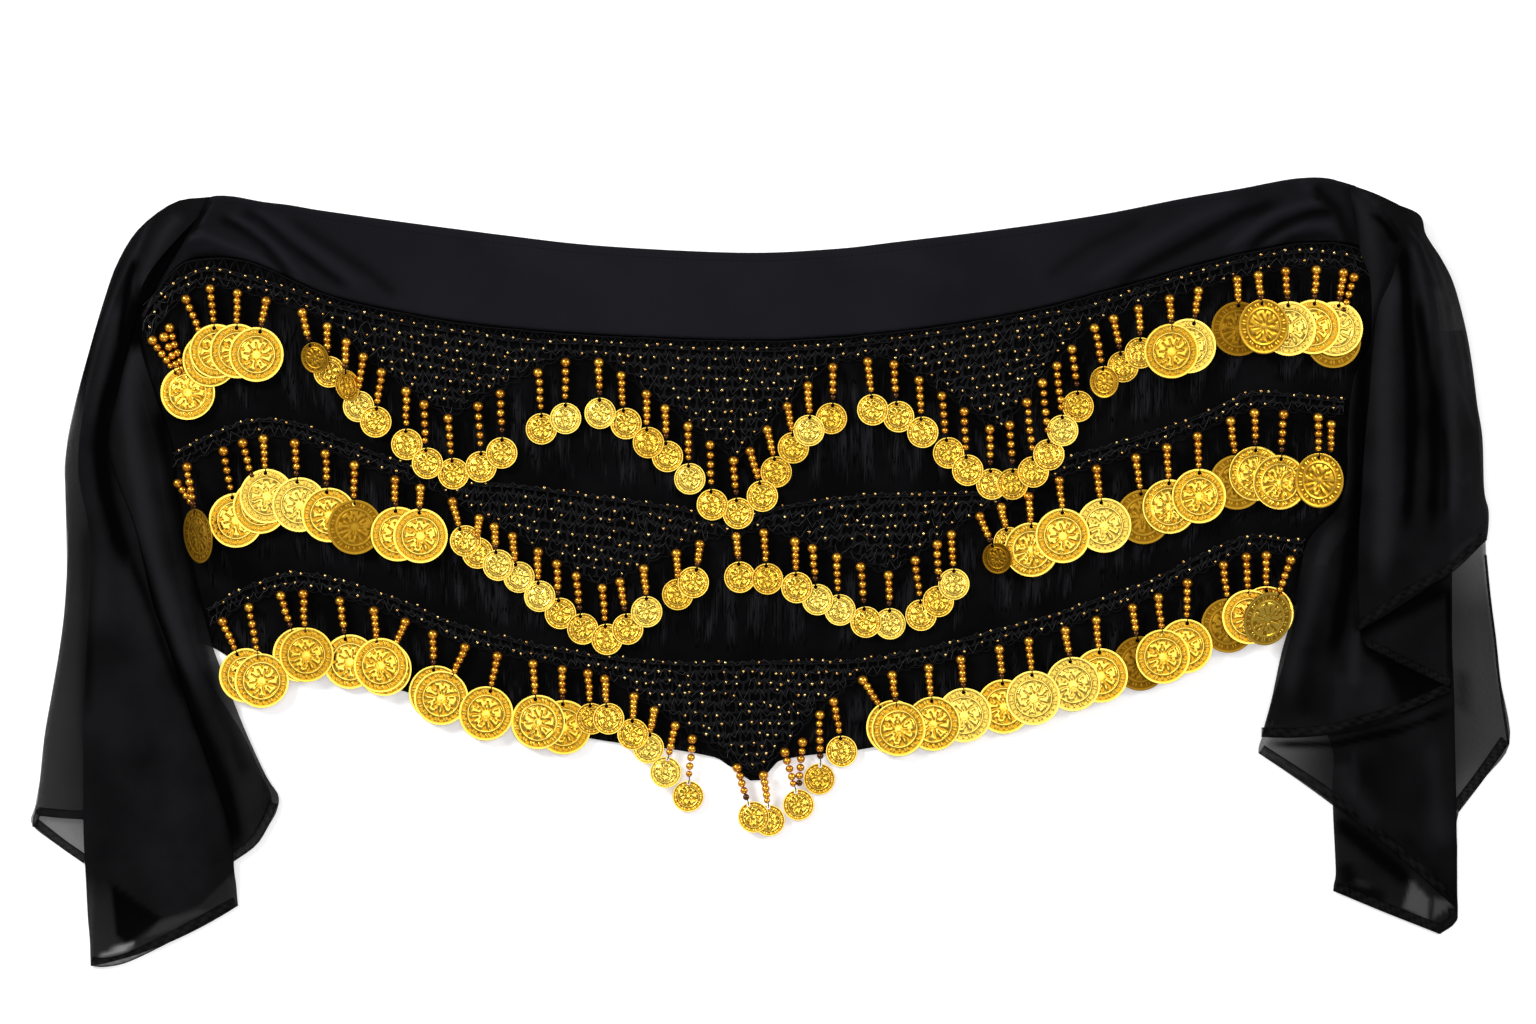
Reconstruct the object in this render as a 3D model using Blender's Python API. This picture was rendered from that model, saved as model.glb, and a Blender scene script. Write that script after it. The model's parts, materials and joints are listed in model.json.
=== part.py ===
"""Belly dance hip scarf, laid flat: a smooth waistband, a gathered chiffon panel, three crochet
nets with strands of beads and coins along their lower edges, and two long ties folded down.

The tables are in millimetres, x to the wearer's left as it lies, y towards the waist, z up from
the surface it lies on. The origin is the middle of the laid scarf, on that surface.
"""

import math
import random

import bmesh
import bpy
from mathutils import Matrix, Vector

MM = 0.001
GAP = 0.3  # air between pieces that touch
SEAM_GAP = 0.3  # each side of the waistband's curved seam
WALL = 1.2  # a chiffon or crochet piece, laid flat
BAND_WALL = 2.0  # the waistband is folded double
LEVEL = WALL + GAP  # one layer of laid cloth over another
UNDER_TIE = 8.0  # the panel runs on this far under a tie
PANEL_COLUMNS = 84
BAND_COLUMNS = 36
GATHER = 1.2  # the highest gather of the panel
CALM = 4.5  # the panel lies smooth this far beyond a net's edge

END_GAP = 1.2  # from a net's ends to the ties
EDGE_GAP = 0.8  # from a net's lower edge to the strip that its strands hang from
LONG_SPAN = 12.0  # a longer span of the strip gets a section in its middle
STRIP_WIDTH = 3.0
STRIP_HEIGHT = 1.4
ROOT_WIDTH = 3.4
STRIP_END = 4.0  # the strip runs on this far beyond its first and last strand
STRAND_RISE = 4.4  # the middle of a strand, just below its root, above the surface
STRAND_CLEAR = 2.75  # the lowest that a strand's underside lies, over the gathers
COIN_FLAT = 1.5  # half of the flat on a coin's rim that its strand meets
COIN_THICK = 0.8
COIN_BASE = 3.25  # the lowest that a coin lies, over the gathers
SMALL_COIN = 9.1  # radius
LARGE_COIN = 15.8
SMALL_SIDES = 8
LARGE_SIDES = 11

# A strand's two sections: how far down it, half its width, half its height, and the share of
# the way that its middle has come from the root's height to the coin's.
STRAND_COLUMNS = ("reach", "half_wide", "half_high", "to_coin")
STRAND_SECTIONS = (
    (0.22, 1.9, 1.5, 0.0),
    (0.80, 1.6, 1.2, 0.7),
)

COLLECTION = "belly_dance_hip_scarf"

# Across the body, one row for each section from left to right.
BODY_COLUMNS = ("x", "seam", "net_top", "net_middle", "net_bottom", "hem")
BODY = (
    (-378.0, 150.0, 128.0, 61.0, -29.0, -39.5),
    (-368.5, 152.5, 139.0, 61.5, -29.0, -39.5),
    (-360.0, 159.0, 156.0, 61.5, -29.0, -39.5),
    (-343.0, 178.0, 170.0, 71.0, -29.0, -39.5),
    (-325.5, 182.5, 176.5, 79.5, -20.5, -43.0),
    (-302.0, 180.0, 171.5, 88.5, -7.5, -55.5),
    (-279.0, 170.5, 164.5, 87.5, -0.5, -53.5),
    (-256.0, 160.5, 156.5, 80.0, -3.0, -57.0),
    (-215.0, 151.0, 146.0, 64.0, -16.0, -68.5),
    (-180.5, 145.0, 140.5, 53.5, -30.5, -79.0),
    (-145.5, 141.0, 135.5, 50.5, -39.5, -88.0),
    (-99.0, 137.5, 133.5, 44.0, -48.0, -97.5),
    (-53.0, 135.5, 131.0, 37.5, -52.0, -103.5),
    (-21.0, 134.5, 130.0, 32.0, -52.0, -111.0),
    (-8.0, 134.5, 130.0, 34.5, -51.5, -120.0),
    (5.0, 134.5, 130.0, 38.0, -51.5, -109.5),
    (51.5, 137.5, 133.5, 44.5, -50.5, -103.0),
    (92.0, 142.0, 138.5, 46.0, -43.5, -95.0),
    (133.0, 148.5, 145.0, 48.5, -32.5, -84.5),
    (167.5, 156.0, 151.5, 65.0, -23.0, -73.5),
    (191.0, 162.5, 156.5, 72.5, -15.0, -66.0),
    (220.0, 170.5, 166.5, 81.0, -4.5, -56.0),
    (249.0, 179.0, 175.0, 91.5, 10.0, -44.5),
    (278.0, 186.0, 182.5, 104.0, 21.5, -31.5),
    (307.0, 191.0, 187.0, 103.0, 18.5, -18.5),
    (333.0, 190.5, 185.0, 100.0, 17.0, -18.5),
    (352.0, 183.5, 178.0, 100.0, 17.0, -18.5),
)

# Where the ties' inner edges cross the body.
SIDE_COLUMNS = ("y", "left", "right")
SIDES = (
    (-120.0, -300.0, 280.0),
    (-74.0, -312.5, 289.5),
    (-48.0, -322.0, 295.0),
    (-28.0, -326.5, 300.5),
    (-10.5, -331.0, 304.5),
    (7.0, -336.0, 308.0),
    (18.5, -338.0, 311.0),
    (29.0, -340.5, 318.5),
    (39.0, -343.0, 329.0),
    (56.5, -345.0, 333.0),
    (97.5, -354.5, 334.0),
    (119.0, -361.0, 340.0),
    (130.0, -363.5, 346.5),
    (158.0, -366.0, 347.5),
    (200.0, -366.0, 345.5),
)

# The nets' triangles: depth below the net's plain strip, and how hollow each slope is.
STRIP_DEPTH = 9.5
BLUNT = 0.95  # a triangle's tip is cut off square at this share of its depth
TRIANGLE_COLUMNS = ("net", "left", "apex", "right", "depth", "left_bend", "right_bend")
TRIANGLES = (
    ("net_top", -372.0, -366.0, -335.0, 13.0, 1.0, 1.2),
    ("net_top", -262.0, -186.0, -121.0, 42.0, 1.0, 1.2),
    ("net_top", -99.0, -19.0, 40.0, 56.0, 1.1, 1.4),
    ("net_top", 66.0, 133.0, 191.0, 54.0, 1.1, 1.3),
    ("net_middle", -190.0, -98.0, -23.0, 43.0, 1.0, 1.2),
    ("net_middle", -6.0, 68.0, 125.0, 37.0, 1.0, 1.1),
    ("net_bottom", -102.0, -8.0, 54.0, 58.0, 1.2, 1.3),
)

# Strands of beads, from left to right along each net: where a strand leaves the net's lower edge,
# its coin's middle and size, how far in degrees the coin has turned about its strand, and how
# many coins deep it lies over its neighbours.
PLACE_COLUMNS = ("root", "x", "y", "coin", "turn", "over")
PLACES = {
    "net_top": (
        (-360, -338, 104, "large", 0, 0), (-340, -325, 123, "large", 0, 1), (-325, -321, 128, "large", 0, 2),
        (-309, -309, 128, "large", 0, 3), (-292, -298, 126, "large", 0, 4), (-272, -264, 124, "small", 30, 0),
        (-257, -256, 116, "small", 0, 3), (-246, -245, 108, "small", -45, 2), (-236, -239, 96, "small", 0, 0),
        (-225, -229, 87, "small", 0, 1), (-211, -211, 74, "small", 0, 0), (-201, -199, 63, "small", 0, 1),
        (-187, -184, 57, "small", 0, 0), (-170, -168, 61, "small", 0, 1), (-157, -156, 69, "small", 0, 2),
        (-135, -133, 83, "small", 0, 0), (-119, -119, 89, "small", 0, 1), (-100, -99, 92, "small", 0, 1),
        (-87, -84, 86, "small", 0, 0), (-72, -71, 75, "small", 0, 1), (-61, -60, 67, "small", 0, 0),
        (-48, -47, 54, "small", 0, 0), (-35, -34, 39, "small", 0, 1), (-22, -19, 34, "small", 0, 0),
        (-13, -5, 44, "small", 0, 1), (-3, 3, 58, "small", 0, 0), (9, 13, 72, "small", 0, 0),
        (21, 22, 82, "small", 0, 1), (36, 35, 89, "small", 0, 0), (56, 59, 94, "small", 0, 1),
        (71, 74, 90, "small", 0, 0), (86, 88, 81, "small", 0, 1), (99, 103, 69, "small", 0, 0),
        (112, 114, 59, "small", 0, 1), (127, 128, 51, "small", 0, 0), (138, 140, 51, "small", 0, 1),
        (148, 152, 58, "small", 0, 2), (157, 161, 68, "small", 0, 3), (165, 169, 82, "small", 0, 4),
        (174, 178, 96, "small", 0, 0), (187, 193, 110, "small", 30, 0), (198, 204, 119, "small", 0, 1),
        (213, 214, 127, "small", 0, 2), (231, 232, 128, "large", 0, 4), (248, 242, 131, "large", 0, 3),
        (270, 271, 141, "large", 0, 0), (282, 285, 142, "large", 35, 1), (298, 300, 141, "large", 0, 3),
        (316, 314, 142, "large", 0, 2), (332, 327, 141, "large", 0, 1), (339, 326, 134, "large", 0, 0),
    ),
    "net_middle": (
        (-339, -331, 21, "large", 55, 0), (-318, -310, 30, "large", 0, 0), (-307, -296, 38, "large", 0, 1),
        (-294, -292, 44, "large", 0, 2), (-276, -273, 39, "large", 0, 3), (-258, -256, 33, "large", 0, 4),
        (-241, -241, 26, "large", 0, 5), (-218, -216, 22, "large", 0, 6), (-203, -203, 21, "large", 0, 7),
        (-185, -177, 18, "small", 0, 5), (-169, -170, 11, "small", 0, 3), (-160, -158, 4, "small", 0, 4),
        (-150, -146, -3, "small", 0, 2), (-135, -134, -14, "small", 0, 1), (-124, -122, -24, "small", 0, 0),
        (-113, -109, -33, "small", 0, 1), (-98, -95, -39, "small", 0, 2), (-88, -83, -33, "small", 0, 3),
        (-74, -72, -23, "small", 0, 4), (-55, -54, -13, "small", 0, 0), (-41, -45, -6, "small", 0, 1),
        (-20, -18, -3, "small", 0, 0), (-4, -2, -4, "small", 0, 1), (14, 15, -9, "small", 0, 4),
        (24, 27, -16, "small", 0, 3), (38, 40, -22, "small", 0, 2), (52, 55, -29, "small", 0, 1),
        (68, 69, -30, "small", 0, 0), (83, 87, -25, "small", 0, 0), (96, 97, -17, "small", 0, 1),
        (104, 106, -7, "small", 0, 2), (120, 131, 8, "small", 30, 0), (133, 138, 17, "small", 0, 1),
        (149, 151, 13, "large", 0, 2), (167, 169, 21, "large", 0, 3), (188, 193, 27, "large", 0, 1),
        (211, 216, 32, "large", 0, 0), (229, 231, 38, "large", 0, 1), (247, 248, 44, "large", 0, 2),
        (266, 270, 52, "large", 0, 0), (280, 281, 57, "large", 0, 1), (297, 295, 52, "large", 0, 2),
        (317, 317, 53, "large", 35, 3),
    ),
    "net_bottom": (
        (-319, -304, -60, "large", 0, 0), (-303, -295, -63, "large", 0, 2), (-285, -273, -48, "large", 0, 1),
        (-271, -269, -48, "large", 0, 2), (-250, -244, -52, "large", 0, 0), (-230, -226, -54, "large", 0, 1),
        (-211, -224, -56, "large", 0, 0), (-196, -194, -70, "large", 0, 0), (-176, -191, -73, "large", 0, 1),
        (-158, -165, -82, "large", 0, 2), (-138, -135, -87, "large", 0, 1), (-121, -120, -90, "large", 0, 0),
        (-106, -104, -85, "small", 0, 1), (-96, -94, -85, "small", 0, 2), (-79, -80, -94, "small", 0, 1),
        (-67, -71, -102, "small", 0, 0), (-55, -61, -116, "small", 0, 0), (-45, -48, -130, "small", 0, 0),
        (-20, -10, -142, "small", 0, 1), (-5, -1, -144, "small", 0, 0), (7, 16, -135, "small", 0, 0),
        (28, 28, -120, "small", 0, 0), (36, 41, -104, "small", 0, 0), (52, 71, -90, "large", 0, 3),
        (70, 74, -91, "large", 0, 4), (91, 94, -88, "large", 0, 2), (110, 112, -83, "large", 0, 1),
        (132, 135, -78, "large", 0, 0), (149, 152, -73, "large", 0, 3), (170, 175, -65, "large", 0, 2),
        (188, 191, -60, "large", 0, 1), (209, 214, -53, "large", 0, 0), (224, 227, -49, "large", 0, 2),
        (241, 240, -43, "large", 0, 1), (262, 265, -31, "large", 0, 0), (275, 277, -26, "large", 0, 3),
        (287, 287, -24, "large", 0, 1), (302, 287, -27, "large", -30, 2),
    ),
}

# The waistband, one row for each section: its edge at the waist, and where it meets the seam.
BAND_COLUMN_NAMES = ("top_x", "top_y", "seam_x")
BAND = (
    (-324.0, 218.5, -359.0),
    (-311.0, 217.5, -343.0),
    (-295.0, 214.5, -324.0),
    (-279.0, 212.5, -302.0),
    (-264.5, 210.0, -279.0),
    (-247.0, 207.5, -256.0),
    (-215.0, 203.0, -215.0),
    (-157.0, 195.5, -157.0),
    (-99.0, 189.0, -99.0),
    (-18.0, 185.0, -18.0),
    (34.0, 187.0, 34.0),
    (75.0, 191.5, 75.0),
    (133.0, 198.5, 133.0),
    (191.0, 207.0, 191.0),
    (237.0, 216.0, 237.0),
    (272.0, 222.0, 272.0),
    (301.0, 227.5, 304.0),
    (318.5, 228.5, 324.0),
    (333.0, 226.0, 340.5),
)

# Soft folds of the waistband: a ridge from one point to another.
FOLD_COLUMNS = ("from_x", "from_y", "to_x", "to_y", "width", "height")
BAND_FOLDS = (
    (-330.0, 207.0, -345.0, 184.0, 6.0, 1.6),
    (-308.0, 208.0, -262.0, 176.0, 7.0, 1.3),
    (-285.0, 206.0, -235.0, 168.0, 8.0, 1.0),
    (318.0, 222.0, 268.0, 196.0, 7.0, 1.4),
    (330.0, 214.0, 285.0, 197.0, 5.0, 1.6),
    (334.0, 203.0, 312.0, 199.0, 4.0, 1.2),
)

# Each tie is laid in layers. A layer's sections run from its outer edge to its inner edge, from the
# waistband down to the hem. "level" counts the layers that a section lies on, and "bow" carries
# the middle of a section towards the hem.
SECTION_COLUMNS = ("outer_x", "outer_y", "inner_x", "inner_y", "level", "bow")
RIDGE_COLUMNS = ("start", "end", "width", "height", "first", "last")
TIES = {
    "left_tie_back": {
        "sections": (
            (-389.0, 147.5, -374.5, 142.5, 0, 0),
            (-395.0, 129.0, -373.0, 129.0, 0, 0),
            (-408.5, 71.0, -357.0, 73.0, 0, 0),
            (-409.0, 42.0, -353.5, 44.5, 0, 0),
            (-408.5, -6.0, -342.5, -10.5, 0, 0),
            (-412.5, -45.0, -333.5, -46.5, 0, 0),
            (-416.5, -68.5, -321.5, -69.5, 0, 0),
            (-421.0, -94.0, -306.0, -94.5, 0, 0),
            (-423.5, -117.5, -295.0, -118.5, 0, 0),
            (-426.5, -135.0, -289.5, -131.0, 0, 0),
            (-428.5, -146.5, -293.0, -141.0, 0, 0),
            (-413.5, -158.5, -302.0, -154.5, 0, 0),
            (-398.5, -169.0, -313.0, -164.0, 0, 0),
        ),
        "ridges": (),
    },
    "left_tie_side": {
        "sections": (
            (-325.5, 217.5, -360.5, 158.0, 1, 0),
            (-345.5, 214.5, -364.5, 156.0, 1, 0),
            (-366.0, 199.5, -366.0, 152.5, 1, 0),
            (-378.5, 180.0, -366.3, 146.0, 1, 0),
            (-386.5, 158.0, -366.0, 134.5, 1, 0),
            (-395.0, 129.0, -362.5, 120.0, 1, 0),
            (-403.5, 97.0, -355.0, 97.5, 1, 0),
            (-408.5, 71.0, -347.5, 73.0, 1, 0),
            (-409.0, 42.0, -344.5, 44.5, 1, 0),
            (-407.5, 15.5, -338.5, 15.5, 1, 0),
            (-408.5, -6.0, -332.5, -10.5, 1, 0),
            (-410.0, -26.5, -327.0, -30.5, 1, 0),
            (-412.5, -45.0, -323.0, -45.0, 1, 0),
            (-416.5, -68.5, -314.0, -68.5, 1, 0),
            (-421.0, -94.0, -303.5, -94.5, 1, 0),
            (-423.5, -117.5, -292.5, -118.5, 1, 0),
            (-425.0, -132.0, -285.5, -129.5, 1, 0),
            (-425.0, -141.0, -286.5, -138.5, 1, 0),
            (-398.5, -143.5, -290.5, -146.0, 1, 0),
            (-395.0, -158.5, -298.5, -158.5, 1, 0),
            (-389.0, -166.0, -313.0, -169.0, 1, 0),
        ),
        "ridges": (
            (0.93, 0.91, 0.035, 1.2, 0.0, 0.90),
        ),
    },
    "left_tie_front": {
        "sections": (
            (-325.5, 217.0, -332.6, 205.0, 2, 0),
            (-347.5, 212.5, -346.0, 191.0, 2, 0),
            (-365.0, 199.0, -358.0, 176.5, 2, 0),
            (-377.0, 178.5, -365.5, 162.5, 2, 0),
            (-384.5, 158.0, -369.0, 146.0, 2, 0),
            (-394.0, 127.5, -373.5, 127.5, 2, 0),
            (-398.0, 97.0, -381.5, 97.0, 2, 0),
            (-401.0, 73.5, -385.5, 76.5, 2, 0),
            (-401.0, 53.5, -381.0, 58.0, 2, 0),
            (-396.0, 30.0, -370.0, 30.0, 2, 0),
            (-394.0, 7.0, -364.0, 7.0, 2, 0),
            (-395.0, -19.0, -358.0, -19.0, 2, 0),
            (-396.5, -45.0, -349.5, -42.5, 2, 0),
            (-398.5, -84.0, -336.0, -84.0, 2, 0),
            (-398.5, -110.0, -326.5, -110.0, 2, 0),
            (-398.5, -141.0, -316.5, -139.0, 2, 0),
            (-398.0, -161.0, -312.0, -158.5, 2, 0),
            (-397.0, -178.0, -311.0, -173.0, 2, 0),
            (-396.0, -200.0, -310.0, -181.0, 1, 2),
            (-395.0, -213.0, -309.5, -188.0, 0.3, 3),
            (-394.5, -228.6, -309.0, -193.5, 0, 5),
        ),
        "ridges": (
            (0.30, 0.12, 0.16, 2.4, 0.0, 0.62),
            (0.75, 0.55, 0.13, 2.0, 0.0, 0.80),
            (0.92, 0.90, 0.07, 1.6, 0.30, 0.85),
        ),
    },
    "right_tie_back": {
        "sections": (
            (401.5, 140.5, 357.0, 137.5, 0, 0),
            (409.0, 97.0, 344.5, 100.0, 0, 0),
            (411.0, 71.0, 343.5, 76.5, 0, 0),
            (413.0, 48.0, 343.0, 53.5, 0, 0),
            (415.5, 32.0, 340.0, 33.5, 0, 0),
            (414.5, 13.0, 325.0, 10.0, 0, 0),
            (417.5, -16.0, 314.0, -18.0, 0, 0),
            (420.5, -39.5, 308.0, -41.5, 0, 0),
            (423.0, -62.5, 303.0, -62.5, 0, 0),
            (428.5, -98.5, 314.0, -98.5, 0, 0),
            (414.0, -119.5, 322.0, -123.5, 0, 0),
            (399.0, -139.0, 326.0, -141.0, 0, 0),
            (398.0, -161.0, 327.0, -161.0, 0, 0),
            (398.0, -184.5, 327.5, -175.0, 0, 0),
            (397.5, -202.0, 326.5, -181.0, 0, 0),
            (388.0, -210.0, 326.0, -185.0, 0, 0),
        ),
        "ridges": (),
    },
    "right_tie_lower": {
        "sections": (
            (394.0, 7.0, 312.5, 4.0, 1, 0),
            (394.5, -22.0, 304.5, -23.0, 1, 0),
            (395.0, -46.0, 298.5, -48.0, 1, 0),
            (396.0, -69.0, 291.5, -71.5, 1, 0),
            (396.5, -97.5, 286.0, -91.5, 1, 0),
            (397.5, -144.0, 283.0, -100.5, 1, -2),
            (397.5, -195.5, 282.5, -105.0, 1, -4),
        ),
        "ridges": (),
    },
    "right_tie_middle": {
        "sections": (
            (334.5, 225.0, 341.8, 184.0, 2, 0),
            (355.5, 217.0, 346.5, 172.5, 2, 0),
            (370.5, 206.5, 347.5, 163.5, 2, 0),
            (379.5, 180.0, 348.0, 156.0, 2, 0),
            (385.0, 158.0, 348.0, 143.5, 2, 0),
            (388.0, 134.5, 347.2, 131.5, 2, 0),
            (390.0, 115.0, 340.6, 119.0, 2, 0),
            (391.0, 105.5, 337.0, 108.5, 2, 0),
            (392.5, 82.5, 334.2, 82.5, 2, 0),
            (394.0, 56.5, 333.6, 56.5, 2, 0),
            (394.0, 36.0, 327.8, 37.0, 2, 0),
            (394.5, 15.5, 311.5, 18.5, 2, 0),
            (394.5, -4.5, 305.5, -4.5, 2, 0),
            (394.5, -28.0, 301.0, -28.0, 2, 0),
            (394.5, -48.0, 295.5, -48.0, 2, 0),
            (394.5, -60.0, 290.0, -74.0, 2, 4),
            (394.5, -69.0, 284.0, -95.5, 2, 9),
        ),
        "ridges": (
            (0.92, 0.86, 0.08, 1.4, 0.0, 0.95),
            (0.76, 0.72, 0.05, 1.1, 0.0, 0.85),
        ),
    },
    "right_tie_flap": {
        "sections": (
            (394.5, 0.0, 343.0, -29.0, 3, 0),
            (394.5, -33.5, 341.5, -36.0, 3, 0),
            (394.5, -67.5, 345.5, -43.5, 3, 0),
        ),
        "ridges": (),
    },
    "right_tie_front": {
        "sections": (
            (360.0, 214.0, 352.5, 211.5, 4, 0),
            (375.5, 207.0, 363.0, 199.0, 4, 0),
            (379.5, 195.0, 365.5, 190.0, 4, 0),
            (388.5, 181.0, 362.5, 180.0, 4, 0),
            (395.5, 166.5, 359.0, 169.0, 4, 0),
            (402.0, 142.5, 351.5, 152.0, 4, 0),
            (406.0, 120.5, 348.5, 129.0, 4, 0),
            (409.0, 97.0, 346.5, 102.5, 4, 0),
            (412.0, 77.5, 344.0, 76.5, 4, 0),
            (413.0, 48.0, 342.0, 47.5, 4, 0),
            (415.5, 36.0, 340.5, 24.5, 4, 0),
            (415.5, 26.5, 340.0, -4.5, 4, 2),
            (414.5, 18.5, 341.0, -33.5, 4, 3),
        ),
        "ridges": (
            (0.20, 0.12, 0.10, 2.0, 0.0, 0.9),
            (0.52, 0.45, 0.12, 2.4, 0.0, 0.9),
            (0.85, 0.86, 0.10, 2.0, 0.0, 1.0),
        ),
    },
}
TIE_ACROSS = 9  # columns of a tie's layer
RIDGE_FADE = 0.15  # a fold starts and ends over this share of the layer's length

# name: colour, roughness, metallic
LOOKS = {
    "chiffon": ((0.012, 0.011, 0.013), 0.75, 0.0),
    "crochet": ((0.009, 0.009, 0.011), 0.9, 0.0),
    "gold": ((0.83, 0.56, 0.11), 0.3, 1.0),
}


def records(columns, rows):
    """The rows of a table as dicts by column name."""
    return [dict(zip(columns, row)) for row in rows]


def along(rows, key, value, at):
    """The value column at a place in the key column, on a smooth curve through the rows."""
    if at <= rows[0][key]:
        return rows[0][value]
    if at >= rows[-1][key]:
        return rows[-1][value]
    k = next(i for i in range(len(rows) - 1) if at <= rows[i + 1][key])

    def slope(i):
        low, high = max(i - 1, 0), min(i + 1, len(rows) - 1)
        return (rows[high][value] - rows[low][value]) / (rows[high][key] - rows[low][key])

    step = rows[k + 1][key] - rows[k][key]
    t = (at - rows[k][key]) / step
    start, end = rows[k][value], rows[k + 1][value]
    return (
        start * (1 + 2 * t) * (1 - t) ** 2
        + end * t * t * (3 - 2 * t)
        + step * t * (1 - t) * (slope(k) * (1 - t) - slope(k + 1) * t)
    )


def smoothstep(t):
    """0 to 1 with level ends, as t goes from 0 to 1."""
    t = min(max(t, 0.0), 1.0)
    return t * t * (3 - 2 * t)


BODY_ROWS = records(BODY_COLUMNS, BODY)
SIDE_ROWS = records(SIDE_COLUMNS, SIDES)


def edge(name, x):
    """The height on the body of a named edge: the seam, a net's upper edge or the hem."""
    return along(BODY_ROWS, "x", name, x)


def net_low(net, x):
    """A net's lower edge: its plain strip, and its triangles."""
    depth = STRIP_DEPTH
    for row in records(TRIANGLE_COLUMNS, TRIANGLES):
        if row["net"] != net or not row["left"] < x < row["right"]:
            continue
        if x < row["apex"]:
            rise, bend = (x - row["left"]) / (row["apex"] - row["left"]), row["left_bend"]
        else:
            rise, bend = (row["right"] - x) / (row["right"] - row["apex"]), row["right_bend"]
        depth += row["depth"] * min(rise**bend, BLUNT)
    return edge(net, x) - depth


def side(which, y, beyond):
    """A side of the body, moved out under the tie by beyond."""
    x = along(SIDE_ROWS, "y", which, y)
    return x - beyond if which == "left" else x + beyond


def across(share, curve, beyond):
    """The point at a share of the body's width where a column between its sides meets a curve."""
    y = 0.0
    # the sides depend on y and the curve on x, so the point is stepped towards in turns
    for _ in range(12):
        left, right = side("left", y, beyond), side("right", y, beyond)
        x = left + share * (right - left)
        y += 0.7 * (curve(x) - y)
    return x, curve(x)


def new_object(name, mesh, look):
    """An object of a finished bmesh, which was built in millimetres."""
    bmesh.ops.scale(mesh, vec=(MM, MM, MM), verts=mesh.verts)
    bmesh.ops.recalc_face_normals(mesh, faces=mesh.faces)
    data = bpy.data.meshes.new(name)
    mesh.to_mesh(data)
    mesh.free()
    data.materials.append(bpy.data.materials[look])
    piece = bpy.data.objects.new(name, data)
    bpy.data.collections[COLLECTION].objects.link(piece)
    piece.parent = bpy.data.objects["hip_scarf_root"]
    return piece


def net_of_points(mesh, points):
    """A sheet of faces through rows of (x, y, z) points."""
    rows, columns = len(points), len(points[0])
    bmesh.ops.create_grid(mesh, x_segments=columns - 1, y_segments=rows - 1, size=1)
    mesh.verts.ensure_lookup_table()
    for i, vert in enumerate(mesh.verts):
        vert.co = points[i // columns][i % columns]


def laid_flat(name, points, under, look):
    """A closed piece with its upper side through the points, and a flat underside."""
    mesh = bmesh.new()
    net_of_points(mesh, points)
    rim = [e for e in mesh.edges if e.is_boundary]
    walls = bmesh.ops.extrude_edge_only(mesh, edges=rim)["geom"]
    for vert in walls:
        if isinstance(vert, bmesh.types.BMVert):
            vert.co.z = under
    lower_rim = [e for e in mesh.edges if e.is_boundary]
    bmesh.ops.holes_fill(mesh, edges=lower_rim, sides=0)
    return new_object(name, mesh, look)


def laid_over(name, points, undersides, look):
    """A closed piece with its upper side through the points, and its underside at its own heights."""
    mesh = bmesh.new()
    net_of_points(mesh, points)
    lowered = bmesh.ops.extrude_face_region(mesh, geom=mesh.faces[:])["geom"]
    below = [v for v in lowered if isinstance(v, bmesh.types.BMVert)]
    places = {(round(p[0], 4), round(p[1], 4)): z for row, heights in zip(points, undersides)
              for p, z in zip(row, heights)}
    for vert in below:
        vert.co.z = places[(round(vert.co.x, 4), round(vert.co.y, 4))]
    return new_object(name, mesh, look)


def ridge_height(x, y, folds):
    """How far soft folds raise the cloth at a point."""
    height = 0.0
    for fold in folds:
        start = Vector((fold["from_x"], fold["from_y"]))
        run = Vector((fold["to_x"], fold["to_y"])) - start
        t = min(max((Vector((x, y)) - start).dot(run) / run.length_squared, 0), 1)
        away = (Vector((x, y)) - start - run * t).length
        height += fold["height"] * math.exp(-((away / fold["width"]) ** 2))
    return height


def make_waistband():
    """The waistband, folded double, between the two valleys where the ties begin."""
    rows = records(BAND_COLUMN_NAMES, BAND)
    for i, row in enumerate(rows):
        row["section"] = i
    folds = records(FOLD_COLUMNS, BAND_FOLDS)
    steps_down = 5
    points = []
    for down in range(steps_down + 1):
        t = down / steps_down
        line = []
        for column in range(BAND_COLUMNS + 1):
            at = column * (len(rows) - 1) / BAND_COLUMNS
            top = Vector([along(rows, "section", k, at) for k in ("top_x", "top_y")])
            seam_x = along(rows, "section", "seam_x", at)
            seam = Vector((seam_x, edge("seam", seam_x) + SEAM_GAP))
            spot = top.lerp(seam, t)
            inside = smoothstep(4 * t) * smoothstep(4 * (1 - t))
            line.append((*spot, BAND_WALL + inside * ridge_height(*spot, folds)))
        points.append(line)
    return laid_flat("waistband", points, 0, "chiffon")


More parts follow.
